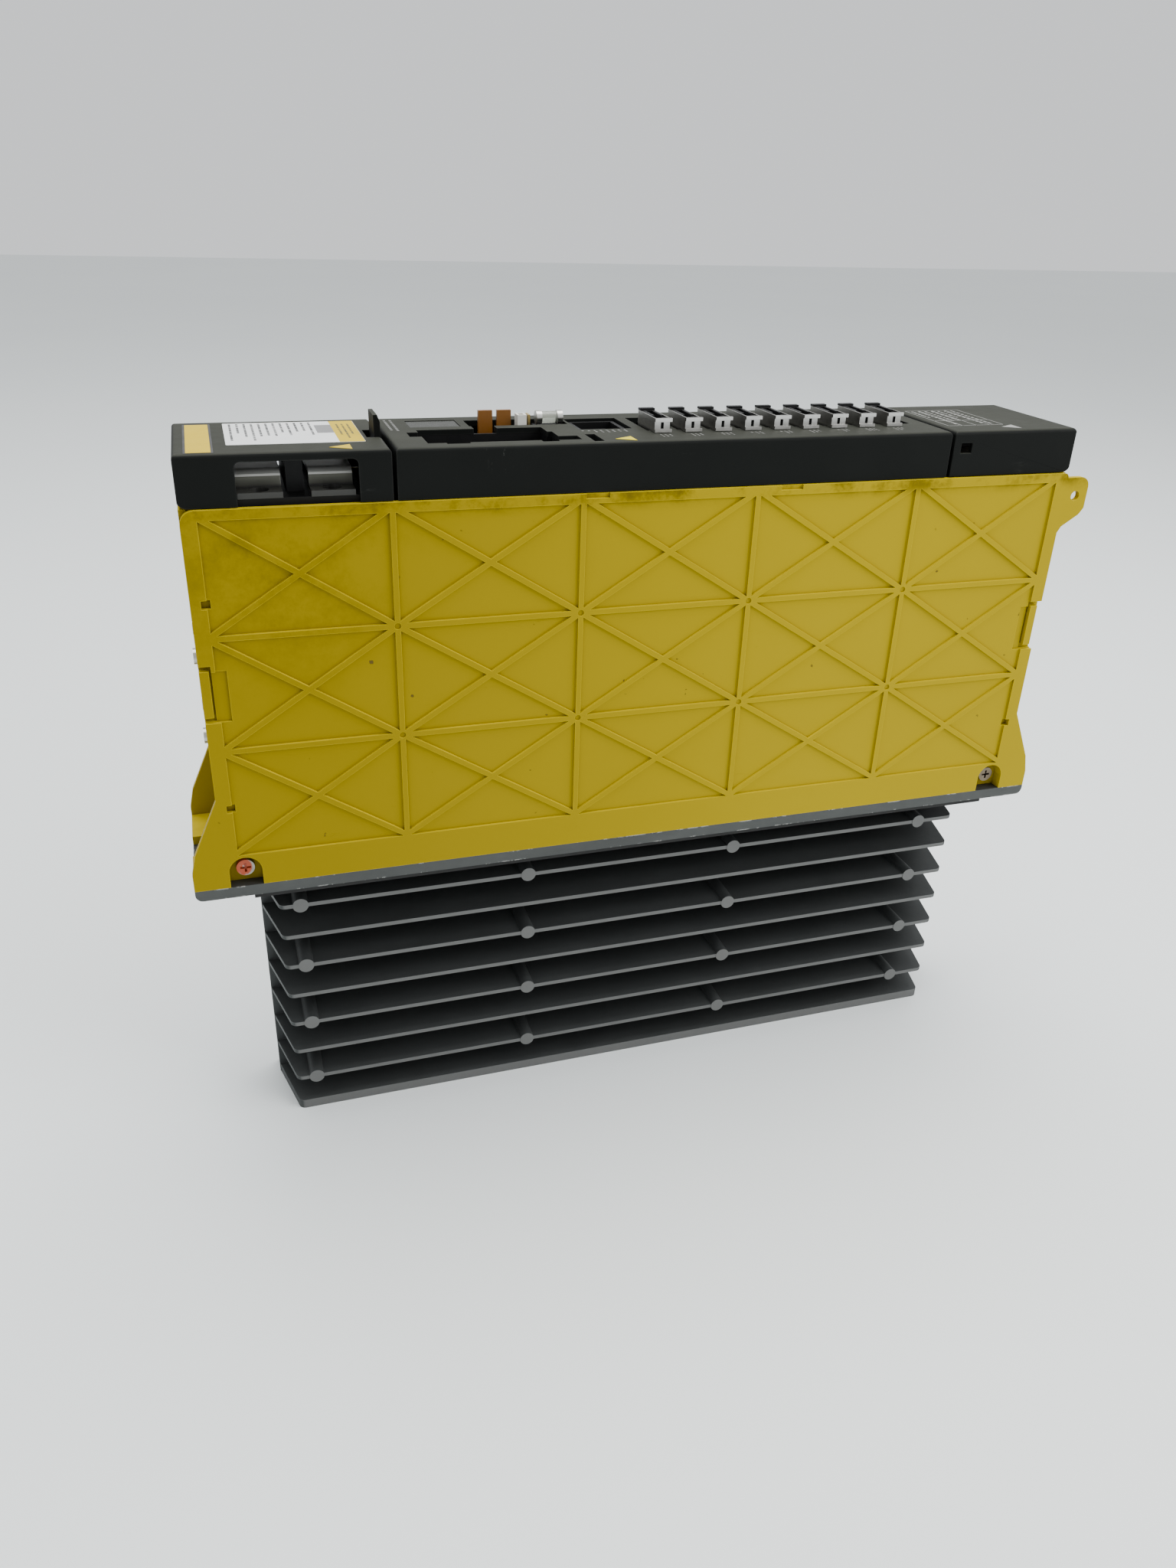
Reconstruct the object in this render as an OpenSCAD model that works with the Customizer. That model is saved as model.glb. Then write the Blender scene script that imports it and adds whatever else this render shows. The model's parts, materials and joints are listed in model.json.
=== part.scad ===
// Servo drive module: a die-cast heat sink under a mounting flange, a slim electronics housing
// above it, and front covers on top. It stands on its heat sink.
// +X runs along the flange, +Y across the module, +Z from the heat sink to the front covers.
// The origin is the centre of the footprint, at the underside of the heat sink.

/* [Overall] */
// Length of the mounting flange
flange_l = 380; // [370:1:480]
// Width of the module, over the side shells
module_w = 60; // [58:1:84]
// Height of the heat sink, up to the underside of the flange
sink_h = 124.3; // [100:0.1:170]
// Height of the side shells above the flange
shell_h = 148.7; // [130:0.1:200]
// Height of the front covers above the side shells
cover_h = 17.9; // [17:0.1:21.5]

/* [Flange] */
// Thickness of the flange
flange_t = 4.7; // [3.5:0.1:7]
// Length of the flange beyond the housing at each end
foot_l = 12; // [11:0.1:16]
// Diameter of the mounting holes
mount_hole_d = 6; // [4.5:0.1:7]
// Radius of the flange's lower end corners
flange_r = 3; // [1:0.1:3.4]
// Thickness of the gasket under the flange
gasket_t = 4.5; // [2:0.1:6]

/* [Heat sink] */
// Thickness of the spine that carries the fins
spine_t = 8.5; // [6:0.1:11]
// Distance from the module's middle to the fin tips
sink_half_w = 18.5; // [16:0.1:21]
// Thickness of the upper fins
fin_t = 1.8; // [1.2:0.1:2.6]
// Thickness of the lowest fin, which the module stands on
foot_fin_t = 4.5; // [3:0.1:7]
// Diameter of the ejector bosses
boss_d = 6.5; // [5:0.1:8]

/* [Shells and covers] */
// Wall of the side shells and end walls
plate_t = 2.4; // [2:0.1:3]
// Depth of the lattice panels
recess_t = 1; // [0.4:0.1:1.2]
// Width of the lattice ribs
rib_w = 2.1; // [1.4:0.1:3.2]
// Wall of the front covers
cover_t = 2; // [1.6:0.1:2.4]
// Step between the side shells and the front covers
cover_inset = 1; // [0.8:0.1:1.5]
// Length of the left terminal cover
left_cover_l = 72.6; // [72:0.1:80]
// Length of the right terminal cover
right_cover_l = 57.8; // [56:0.1:66]
// Gap between two covers
cover_split = 1.5; // [1:0.1:2.2]
// Diameter of the covers' hinge pins
hinge_pin_d = 3; // [2.4:0.1:3.4]

/* [Connectors] */
// Distance from one signal connector to the next
connector_pitch = 12.5; // [11.6:0.1:12.6]
// Width of a connector shell
connector_w = 6.1; // [5.4:0.1:6.6]
// Length of a connector shell
connector_l = 18.9; // [17:0.1:22]
// Height of the connector shells above the covers
connector_h = 5.4; // [4.6:0.1:7]

/* [Fan] */
// Side of the stirring fan's frame
fan_size = 40; // [34:1:42]
// Depth of the stirring fan's frame
fan_t = 20; // [18:1:24]
// Number of fan blades
fan_blades = 7; // [5:1:9]

/* [Hidden] */
$fn = 48;

// Overshoot of a cut past a face
over = 1;
// Gap between pieces that are assembled by hand
fit_gap = 0.2;
// Radial gap of a pin in a bearing
running_gap = 0.05;
// Radial gap of a screw in its hole
screw_gap = 0.1;
// Cross slot of a screw: length and width as shares of the head's diameter, floor of its height
screw_slot = [0.58, 0.13, 0.45];
// Gap between the covers and the shells under them
cover_gap = 0.3;

// Heights of the main levels
z_flange = sink_h + flange_t;
z_shell = z_flange + shell_h;
z_cover = z_shell + cover_gap;
z_face = z_shell + cover_gap + cover_h;
z_ceiling = z_face - cover_t;

// Half sizes
half_l = flange_l / 2;
half_w = module_w / 2;
body_x = half_l - foot_l;
inner_y = half_w - plate_t;
wall_y = inner_y - fit_gap;
cover_y = half_w - cover_inset;
cavity_y = cover_y - cover_t;

// Heat sink
sink_x = 1.7;
sink_root_x = body_x - 10.7;
fin_draft = 0.25;
fin_reach = 2 * sink_half_w - spine_t;
fin_tip_x = sink_root_x - fin_draft * fin_reach;
fin_r = 3;
fin_count = 8;
first_fin_drop = 15.3;
fin_pitch = (sink_h - first_fin_drop - foot_fin_t / 2) / (fin_count - 1);
boss_count = 4;
boss_proud = 0.2;
boss_x = [sink_x - fin_tip_x + 8.3, sink_x + fin_tip_x - 18.5];
boss_pitch = (boss_x[1] - boss_x[0]) / (boss_count - 1);
sink_plate_t = 6;
sink_plate_y = 22;
sink_screw_x = [-152, -20, 120];
sink_screw_y = 17;
sink_screw_d = 5;
sink_screw_head = [8.5, 3.5];
sink_screw_l = flange_t + sink_plate_t - 1;
gasket_y = 25;
gasket_x = sink_root_x + 2.2;

// Flange bosses, and the arches in the shells around their screws
arch_x = body_x - 8;
arch_r = 6.3;
arch_z = z_flange + 6.5;
arch_top = arch_z + arch_r + plate_t;
arch_wall_t = 3.5;
arch_back_y = half_w - 5.5;
flange_boss_y = arch_back_y - arch_wall_t;
flange_boss = [10, 11, 10.5];
side_screw_d = 4;
side_screw_bite = 9;
side_screw_head = [7, 2.4];

// Side shell outline
foot_flare_z = 38.5;
foot_side_z = 7.4;
foot_slope_z = 15.6;
foot_slope_x = 1.8;
foot_ledge = [22, 3.7];
shell_r = 5;
lug_side_r = 2;
top_notch_x = [-29.9, 49.6];
top_notch = [9.2, 1.8];

// Tabs of the end walls in the shells' slots, and the finger pockets beside them
tab_w = 3.4;
tab_end_gap = 2;
tab_setback = 1.8;
tab_slot_w = 4.2;
tab_slot_z = [z_flange + 70.8, z_flange + 92.8];
pocket_w = 9.6;
pocket_t = plate_t - 0.6;
pocket_z = [z_flange + 70.5, z_flange + 90.4];

// Strips of the end walls behind the shells
wall_lap = 8;
wall_lap_t = 2;
wall_lap_z = [arch_top + 8, z_shell - 20];

// Square snap holes in the side shells
snap_hole = 3.2;
snap_x = body_x - 5.3;
snap_low_z = z_flange + 34.5;
snap_high_z = z_flange + 115.5;

// Lattice on the side shells: the panels' edges, and a grid of ribs that the edges cut short
panel_x = body_x - 5.7;
panel_z = [z_flange + 13.9, z_shell - 3.7];
lattice_cells = [5, 3];
lattice_z = [z_flange + 14.2, z_shell - 1.6];
lattice_end_x = body_x - 4.3;
lattice_half_x = body_x - 1;
cell_x = 2 * lattice_half_x / lattice_cells[0];
cell_z = (lattice_z[1] - lattice_z[0]) / lattice_cells[1];
dimple_d = 2.5;
dimple_t = 0.6;

// Hanging lug: points below its rounded corner, as reach past the housing and drop from the shell's top
lug_hole_d = 4.1;
lug_hole = [body_x + 5.2, z_shell - 9.7];
lug_out = 11;
lug_r = 4.2;
lug_drop = 1.9;
lug_points = [[lug_out, 15], [lug_out - 2, 17.8], [1.5, 22.7], [-over, 27]];

// Cover hinges
hinge_x = body_x - 3.1;
hinge_z = z_cover + 3.4;
hinge_ear_y = [cavity_y - 3.8, cavity_y - 0.3];
hinge_ear_r = 2.5;
hinge_ear_h = 14;
hinge_slot = 0.4;
hinge_bite = 1.1;
hinge_end_gap = 0.1;
hinge_room_h = 3.4;
hinge_corner_r = hinge_z - z_cover;
cover_r = 1.6;

// Front covers along X
left_cover_x = [-body_x, -body_x + left_cover_l];
main_cover_x = [left_cover_x[1] + cover_split, body_x - right_cover_l - cover_split];
right_cover_x = [body_x - right_cover_l, body_x];

// Features of the main cover, from its left end
main_x = main_cover_x[0];
window_x = [main_x + 11.2, main_x + 30.6];
window_y = [8.7, 21.7];
well_x = [main_x + 33.8, main_x + 72.8];
well_y = [8, 20];
option_x = [main_x + 73.8, main_x + 95.2];
option_y = [-4, 18];
slot_x = [main_x + 73.2, main_x + 77];
slot_y = [-26, -13];
connector_x = main_x + 100.6;
connector_y = -14.4;
connector_count = 9;
connector_step = 4.9;
connector_wall = 0.5;
connector_lip = [0.7, 1.3, 1.1];
connector_slot_w = 1.2;
core_gap = 0.1;
core_cap = [2.4, 0.8];
core_slot = [2.6, 3.6];
opening_side = 1;
opening_w = 9.3;
opening_far_y = 17.5;
last_opening_w = 14.6;

// Boards
board_t = 1.6;
board_top = z_ceiling - 9;
board_end_gap = 2.4;
board_x = [main_cover_x[0] + board_end_gap, main_cover_x[1] - board_end_gap];
board_y = cavity_y - 0.4;
post_d = 5;
post_inset = 4;
post_roof = 2;
board_screw_d = 2.5;
board_screw_head = [4.6, 1.6];
power_z = z_flange + 21;
power_top = power_z + board_t;
power_x = [-body_x + 21, body_x - 36];
power_y = cavity_y - 3;
standoff_x = [power_x[0] + 16, -32, power_x[1] - 7];
standoff_y = power_y - 4;
standoff_d = 6;
standoff_stud_d = 3;
standoff_nut = [5.5, 2];
interface_x = [-25, 105];
interface_y = cavity_y - 8;

// Chips on the interface board: width, height, thickness and height above the power board
chip_count = 3;
chip_pitch = 41;
chip_inset = 8;
large_chip = [28, 28, 2.4, 40];
small_chip = [10, 18, 1.8, 88];

// Battery bay: plan boxes from the main cover's left end, [x0, x1, y0, y1]
bay_boxes = [
    [12.5, 60.6, -21.5, 3],
    [8.2, 12.6, -9, -1],
    [60.5, 62.4, -21.9, -6],
    [62.3, 69.6, -21.9, -15],
    [19.2, 27.7, -23.3, -21.4],
    [54.2, 60.6, -24, -21.4]
];
bay_pass = [34.4, 43.3, 2.9, 8.1];
bay_wall = 1.2;
bay_lip = 0.1;
bay_depth = 8.4;
bay_floor = z_ceiling - bay_depth + cover_t;

// Display
display_side = 1;
window_t = 1;
window_drop = 0.2;

// Plugs, header and fuse, in the well of the main cover
plug_x = [main_x + 38.9, main_x + 46.3];
plug_y = 16.2;
plug_size = [5.6, 1.6];
plug_top = z_face + 4.4;
plug_base_x = [main_x + 36.5, main_x + 52.5];
plug_base_w = 8;
plug_base_top = board_top + 6.1;
plug_foot = plug_base_top - 4;
header_x = main_x + 53.9;
header_size = [3.6, 5];
header_top = z_face + 2.9;
header_wall = 0.8;
header_depth = 3.9;
contact_x = main_x + 58.2;
contact_size = [2.4, 4.4];
contact_t = 0.8;
fuse_x = [main_x + 61.7, main_x + 72.3];
fuse_y = 15;
fuse_z = z_face + 1.5;
fuse_d = 5.2;
fuse_body_d = 4.6;
fuse_cap_l = 2.2;
fuse_blade = [1, 2.4, 5];
fuse_base_x = [fuse_x[0] - 0.8, fuse_x[1] + 0.1];
fuse_base_w = 7;
fuse_base_top = fuse_z - fuse_d / 2 - 0.3;

// Receptacle in the square opening: its wall, its floor and the tongue inside it
option_gap = 1;
option_wall = 1.6;
option_floor = 2;
option_tongue_inset = 3;
option_tongue_t = 1.6;
option_tongue_drop = 3;

// Link bars
bar_w = 15.2;
bar_t = 2;
bar_bend_r = bar_t + 1;
bar_x = [left_cover_x[0] + 27.4, left_cover_x[0] + 52.2];
bar_hole_d = 6.7;
bar_hole_y = cavity_y - 5.3;
bar_tab_z = z_cover + 4;
bar_top_z = bar_tab_z + 6;
bar_tab_y = [cavity_y - 9, cavity_y - 0.5];
bar_window_x = [left_cover_x[0] + 19.6, left_cover_x[0] + 61];
bar_window_top = z_face - 2.9;
bar_window_r = 2;
lead_w = 8;
lead_y = [bar_tab_y[0] - 1.8, bar_tab_y[0] - 0.3];

// Terminal base under the link bars, with a barrier between them
base_x = [left_cover_x[0] + 16, left_cover_x[0] + 63];
base_y = cavity_y - 1;
base_z = [bar_tab_z - bar_t - 17, bar_tab_z - bar_t];
base_hole_depth = 12;
arm_y = 12;
arm_h = 8;
barrier_t = 6;
barrier_y = bar_tab_y[0] - fit_gap;
barrier_top = z_ceiling - 1.9;

// Motor terminals
motor_x = [right_cover_x[0] + 4.2, right_cover_x[1] - 10.4];
motor_z = [z_shell - 15.7, z_shell + 3];
motor_count = 4;
motor_pitch = 2 * base_y / motor_count;
motor_wall = 0.8;
motor_back = 3;
motor_bay_depth = 7;
motor_tab_t = 1.2;
motor_tab_top = motor_z[1] - motor_bay_depth + motor_tab_t;
motor_screw_x = (motor_x[0] + motor_x[1]) / 2 + 6;
motor_screw_d = 4;
motor_screw_head = [7, 2.6];
motor_screw_l = 8;

// Latch of the left cover
latch_x = [left_cover_x[1] - 3, left_cover_x[1] - 0.6];
latch_y = [-7, 5.5];
latch_top = z_face + 7.6;
latch_bevel = [0.9, 2.6];
latch_root = 2.4;
latch_pivot = [(latch_x[0] + latch_x[1]) / 2, z_cover + 4];
latch_pin_d = 2;
latch_pin_l = 1.6;
latch_side_gap = 0.6;
latch_slot_x = left_cover_x[1] - 5.6;
latch_cheek = 2;
latch_cheek_z = z_cover + 1;

// Right cover details
catch_x = right_cover_x[0] + 3.4;
catch_size = [5, 4];
catch_top = z_face - 4.6;
exit_y = 14;
exit_top = z_cover + 10;

// Fan
fan_z = z_flange + 76;
fan_x = -body_x + plate_t;
fan_bore_d = fan_size - 3;
fan_hub_d = 14;
fan_shaft_d = 3;
fan_arm = [2, 3];
fan_arm_turns = [0, 60, 120];
fan_front_gap = 1.5;
fan_hub_gap = 0.4;
fan_tip_gap = 1.6;
fan_screw_inset = 4;
fan_screw_d = 3;
fan_screw_head = [6, 1.4];
fan_screw_l = plate_t + fan_t - 5;
blade_t = 1.2;
blade_chord = 11;
blade_pitch = 35;
grille_d = fan_bore_d - 1;
grille_bar = 1.8;
grille_turns = [0, 45, 90, 135];
grille_hub_r = 4;
grille_rings = [5, 11.5];

// Vents in the right end wall
vent_count = 8;
vent_pitch = 9;
vent_h = 4;
vent_y = 18;
vent_z = z_flange + 44;

// Power modules
module_size = [90, 46, 14];
module_x = [-90, 50];
module_hole_d = 4.4;
module_hole_inset = 5;
module_bore_d = 8.6;
module_seat = 6;
module_screw_head = [7.6, 3];
module_pin_d = 2.4;
module_pin_pitch = 10;
module_pin_y = 12;
module_pins = [-3:3];

// Parts on the power board
capacitor_d = 30;
capacitor_h = 60;
capacitor_x = [-120, -84];
capacitor_groove = [4, 1];
sensor_x = [-48, -18, 12, 42];
sensor_size = [18, 14, 20];
sensor_hole_d = 8;
relay_x = [84, 116];
relay_y = [-14, 12];
relay_h = 26;

// Box between two corners, given as a range on each axis
module span(x, y, z) {
    translate([x[0], y[0], z[0]]) cube([x[1] - x[0], y[1] - y[0], z[1] - z[0]]);
}

// A drawing in X and Z, extruded along Y
module along_y(y) {
    translate([0, y[1], 0]) rotate([90, 0, 0]) linear_extrude(y[1] - y[0]) children();
}

// A drawing in Y and Z, extruded along X
module along_x(x) {
    translate([x[0], 0, 0]) rotate([90, 0, 90]) linear_extrude(x[1] - x[0]) children();
}

// Round bars along each axis
module bar_y(d, x, y, z) {
    translate([x, y[0], z]) rotate([-90, 0, 0]) cylinder(d = d, h = y[1] - y[0]);
}

module bar_x(d, x, y, z) {
    translate([x[0], y, z]) rotate([0, 90, 0]) cylinder(d = d, h = x[1] - x[0]);
}

module bar_z(d, x, y, z) {
    translate([x, y, z[0]]) cylinder(d = d, h = z[1] - z[0]);
}

// Rectangle between two corners
module area(a, b) {
    translate([a[0], b[0]]) square([a[1] - a[0], b[1] - b[0]]);
}

// Points of an arc
function arc(c, r, from, to, steps = 6) = [
    for (i = [0:steps]) c + r * [cos(from + (to - from) * i / steps), sin(from + (to - from) * i / steps)]
];

// Outline of a block with round upper corners
module bridge(half, z, r) {
    polygon(concat(
        [[-half, z[0]], [half, z[0]]],
        arc([half - r, z[1] - r], r, 0, 90),
        arc([-half + r, z[1] - r], r, 90, 180)
    ));
}

// Both ends of something that is alike at left and right, or near and far
module both_sides() {
    children();
    mirror([0, 1, 0]) children();
}

module both_ends() {
    children();
    mirror([1, 0, 0]) children();
}

// Screw whose head's underside is at the origin, with its shank along -Z
module screw(head, shank_d, shank_l) {
    difference() {
        union() {
            cylinder(d = head[0], h = head[1]);
            translate([0, 0, -shank_l]) cylinder(d = shank_d, h = shank_l + over / 2);
        }
        for (turn = [0, 90]) {
            rotate([0, 0, turn])
                translate([-head[0] * screw_slot[0] / 2, -head[0] * screw_slot[1] / 2,
                           head[1] * screw_slot[2]])
                    cube([head[0] * screw_slot[0], head[0] * screw_slot[1], head[1]]);
        }
    }
}

// ---- Heat sink ----

// Plan of one fin: a tapered plate with round tip corners
function fin_corner(side) = let (
    lean = atan(fin_draft),
    inset = fin_r * (1 - sin(lean)) / cos(lean),
    c = [sink_x + side * (fin_tip_x - inset), -sink_half_w + fin_r]
) side > 0 ? arc(c, fin_r, 270, 360 - lean) : arc(c, fin_r, 180 + lean, 270);

module fin_plan() {
    polygon(concat(
        fin_corner(-1),
        fin_corner(1),
        [[sink_x + sink_root_x, sink_half_w - spine_t + over],
         [sink_x - sink_root_x, sink_half_w - spine_t + over]]
    ));
}

module heat_sink() {
    color("dimgray") difference() {
        union() {
            span([sink_x - sink_root_x, sink_x + sink_root_x],
                 [sink_half_w - spine_t, sink_half_w], [0, sink_h]);
            span([sink_x - sink_root_x, sink_x + sink_root_x],
                 [-sink_plate_y, sink_plate_y], [sink_h - sink_plate_t, sink_h]);
            linear_extrude(foot_fin_t) fin_plan();
            for (i = [1:fin_count - 1]) {
                translate([0, 0, foot_fin_t / 2 + i * fin_pitch - fin_t / 2])
                    linear_extrude(fin_t) fin_plan();
            }
            for (row = [1:2:fin_count - 1], i = [0:boss_count - 1]) {
                bar_y(boss_d, boss_x[0] + i * boss_pitch,
                      [-sink_half_w - boss_proud, sink_half_w - spine_t + over],
                      foot_fin_t / 2 + row * fin_pitch);
            }
        }
        sink_screw_places() bar_z(sink_screw_d, 0, 0, [sink_h - sink_plate_t - over, sink_h + over]);
    }
}

module sink_screw_places() {
    for (x = sink_screw_x, y = [-sink_screw_y, sink_screw_y]) translate([x, y, 0]) children();
}

module flange_gasket() {
    color("black") difference() {
        span([sink_x - gasket_x, sink_x + gasket_x], [-gasket_y, gasket_y],
             [sink_h - gasket_t, sink_h]);
        span([sink_x - sink_root_x - fit_gap, sink_x + sink_root_x + fit_gap],
             [-sink_plate_y - fit_gap, sink_plate_y + fit_gap],
             [sink_h - gasket_t - over, sink_h + over]);
    }
}

// ---- Flange ----

module mounting_flange() {
    color("slategray") difference() {
        union() {
            along_y([-half_w, half_w]) polygon(concat(
                [[-half_l, z_flange]],
                arc([-half_l + flange_r, sink_h + flange_r], flange_r, 180, 270),
                arc([half_l - flange_r, sink_h + flange_r], flange_r, 270, 360),
                [[half_l, z_flange]]
            ));
            both_sides() both_ends() span(
                [arch_x - flange_boss[0] / 2, arch_x + flange_boss[0] / 2],
                [flange_boss_y - flange_boss[1], flange_boss_y],
                [z_flange - over, z_flange + flange_boss[2]]
            );
        }
        for (x = [-half_l + foot_l / 2, half_l - foot_l / 2]) {
            bar_z(mount_hole_d, x, 0, [sink_h - over, z_flange + over]);
        }
        both_sides() both_ends()
            bar_y(side_screw_d, arch_x, [flange_boss_y - side_screw_bite, flange_boss_y + over],
                  arch_z);
        sink_screw_places()
            bar_z(sink_screw_d + 2 * screw_gap, 0, 0, [sink_h - over, z_flange + over]);
        module_places() bar_z(module_hole_d, 0, 0, [sink_h - over, z_flange + over]);
    }
}

module sink_screws() {
    color("silver") sink_screw_places() translate([0, 0, z_flange])
        screw(sink_screw_head, sink_screw_d - 2 * screw_gap, sink_screw_l);
}

// ---- Side shells ----

// Outline of a side shell, whose upper right corner is tighter where the lug grows out of it
module shell_outline(right_r) {
    foot = [[half_l, z_flange], [half_l, z_flange + foot_side_z],
            [half_l - foot_slope_x, z_flange + foot_slope_z], [body_x, z_flange + foot_flare_z]];
    polygon(concat(
        foot,
        arc([body_x - right_r, z_shell - right_r], right_r, 0, 90),
        arc([-body_x + shell_r, z_shell - shell_r], shell_r, 90, 180),
        [for (i = [len(foot) - 1:-1:0]) [-foot[i][0], foot[i][1]]]
    ));
}

// The end columns stand in from where the even spacing puts them
function column_x(i) = max(-lattice_end_x, min(lattice_end_x, -lattice_half_x + i * cell_x));

function row_z(k) = lattice_z[0] + k * cell_z;

module rib(a, b) {
    translate((a + b) / 2) rotate(atan2(b[1] - a[1], b[0] - a[0]))
        square([norm(b - a) + rib_w, rib_w], center = true);
}

// Lattice panels: everything inside the border that isn't a rib
module lattice_panels() {
    columns = lattice_cells[0];
    rows = lattice_cells[1];
    difference() {
        area([-panel_x, panel_x], panel_z);
        for (i = [1:columns - 1]) rib([column_x(i), row_z(0)], [column_x(i), row_z(rows)]);
        for (k = [1:rows - 1]) rib([column_x(0), row_z(k)], [column_x(columns), row_z(k)]);
        for (i = [0:columns - 1], k = [0:rows - 1]) {
            rib([column_x(i), row_z(k)], [column_x(i + 1), row_z(k + 1)]);
            rib([column_x(i), row_z(k + 1)], [column_x(i + 1), row_z(k)]);
        }
    }
}

module arch_opening(grow = 0) {
    for (side = [-1, 1]) {
        translate([side * arch_x - arch_r - grow, z_flange - over])
            square([2 * (arch_r + grow), arch_z - z_flange + over]);
        translate([side * arch_x, arch_z]) circle(r = arch_r + grow);
    }
}

module lug_outline() {
    polygon(concat(
        [[body_x - shell_r, z_shell - lug_drop]],
        arc([body_x + lug_out - lug_r, z_shell - lug_drop - lug_r], lug_r, 90, 0),
        [for (p = lug_points) [body_x + p[0], z_shell - p[1]]]
    ));
}

// Slots for the end walls' tabs; the right wall's tabs stand further in
module tab_slots() {
    for (side = [-1, 1]) {
        inner = body_x - tab_slot_w - (side > 0 ? tab_setback : 0);
        area(side > 0 ? [inner, half_l] : [-half_l, -inner], tab_slot_z);
    }
}

module snap_holes() {
    for (p = [[-snap_x, snap_low_z], [snap_x, snap_low_z], [-snap_x, snap_high_z]]) {
        translate(p) square(snap_hole, center = true);
    }
}

// The near shell; the far one is its mirror image
module side_shell(with_lug) {
    difference() {
        union() {
            along_y([-half_w, -inner_y]) shell_outline(with_lug ? lug_side_r : shell_r);
            intersection() {
                along_y([-inner_y - over, -flange_boss_y]) arch_opening(grow = plate_t);
                span([-half_l, half_l], [-half_w, half_w], [z_flange, z_shell]);
            }
            both_ends() span([body_x + fit_gap, half_l], [-half_w, -half_w + foot_ledge[0]],
                             [z_flange, z_flange + foot_ledge[1]]);
            if (with_lug) along_y([-half_w, -inner_y]) lug_outline();
        }
        along_y([-half_w - over, -half_w + recess_t]) lattice_panels();
        along_y([-half_w - over, -arch_back_y]) arch_opening();
        along_y([-half_w - over, 0]) tab_slots();
        along_y([-half_w - over, 0]) snap_holes();
        both_ends() span([body_x - pocket_w, body_x + over], [-half_w - over, -half_w + pocket_t],
                         pocket_z);
        both_ends() bar_y(side_screw_d + 2 * screw_gap, arch_x, [-half_w - over, 0], arch_z);
        for (i = [1:lattice_cells[0] - 1], k = [1:lattice_cells[1] - 1]) {
            bar_y(dimple_d, column_x(i), [-half_w - over, -half_w + dimple_t], row_z(k));
        }
        for (x = top_notch_x) {
            span([x - top_notch[0] / 2, x + top_notch[0] / 2], [-half_w - over, -half_w + cover_inset],
                 [z_shell - top_notch[1], z_shell + over]);
        }
        if (with_lug) bar_y(lug_hole_d, lug_hole[0], [-half_w - over, 0], lug_hole[1]);
    }
}

module near_side_shell() {
    color("gold") side_shell(true);
}

module far_side_shell() {
    color("gold") mirror([0, 1, 0]) side_shell(false);
}

// ---- End walls ----

// The left end wall, cut away around the shells' arches; the right one is its mirror image,
// with its tabs set back from the shells' edges
module end_wall(setback) {
    difference() {
        union() {
            span([-body_x, -body_x + plate_t], [-wall_y, wall_y], [z_flange, z_shell - fit_gap]);
            both_sides() {
                span([-body_x + setback, -body_x + setback + tab_w], [inner_y - over, half_w],
                     [tab_slot_z[0] + tab_end_gap, tab_slot_z[1] - tab_end_gap]);
                span([-body_x, -body_x + wall_lap], [wall_y - wall_lap_t, wall_y], wall_lap_z);
                hinge_ear();
            }
        }
        both_sides() span([-body_x - over, -body_x + plate_t + over], [flange_boss_y - fit_gap, half_w],
                          [z_flange - over, arch_top + fit_gap]);
    }
}

module hinge_ear() {
    along_y(hinge_ear_y) {
        area([-hinge_x - hinge_ear_r, -hinge_x + hinge_ear_r], [z_shell - hinge_ear_h, hinge_z]);
        translate([-hinge_x, hinge_z]) circle(r = hinge_ear_r);
    }
    bar_y(hinge_pin_d, -hinge_x,
          [hinge_ear_y[0] + over, cavity_y + hinge_bite - hinge_end_gap], hinge_z);
}

module fan_screw_places() {
    reach = fan_size / 2 - fan_screw_inset;
    for (y = [-reach, reach], z = [-reach, reach]) translate([0, y, fan_z + z]) children();
}

module fan_end_wall() {
    color("gold") difference() {
        end_wall(0);
        difference() {
            bar_x(grille_d, [-body_x - over, fan_x + over], 0, fan_z);
            along_x([-body_x - 2 * over, fan_x + 2 * over]) translate([0, fan_z]) {
                for (turn = grille_turns) rotate(turn) square([fan_size, grille_bar], center = true);
                for (r = grille_rings) difference() {
                    circle(r = r + grille_bar / 2);
                    circle(r = r - grille_bar / 2);
                }
                circle(r = grille_hub_r);
            }
        }
        fan_screw_places()
            bar_x(fan_screw_d + 2 * screw_gap, [-body_x - over, fan_x + over], 0, 0);
    }
}

module vent_end_wall() {
    color("gold") difference() {
        mirror([1, 0, 0]) end_wall(tab_setback);
        for (i = [0:vent_count - 1]) {
            span([body_x - plate_t - over, body_x + over], [-vent_y, vent_y],
                 [vent_z + i * vent_pitch, vent_z + i * vent_pitch + vent_h]);
        }
    }
}

module side_screw_pair(x) {
    both_sides() translate([x, -arch_back_y, arch_z]) rotate([90, 0, 0])
        screw(side_screw_head, side_screw_d - 2 * screw_gap, arch_wall_t + side_screw_bite - 1);
}

module shell_screws_left() {
    color("silver") side_screw_pair(-arch_x);
}

module shell_screws_right() {
    color("darkkhaki") side_screw_pair(arch_x);
}

// ---- Fan ----

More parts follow.
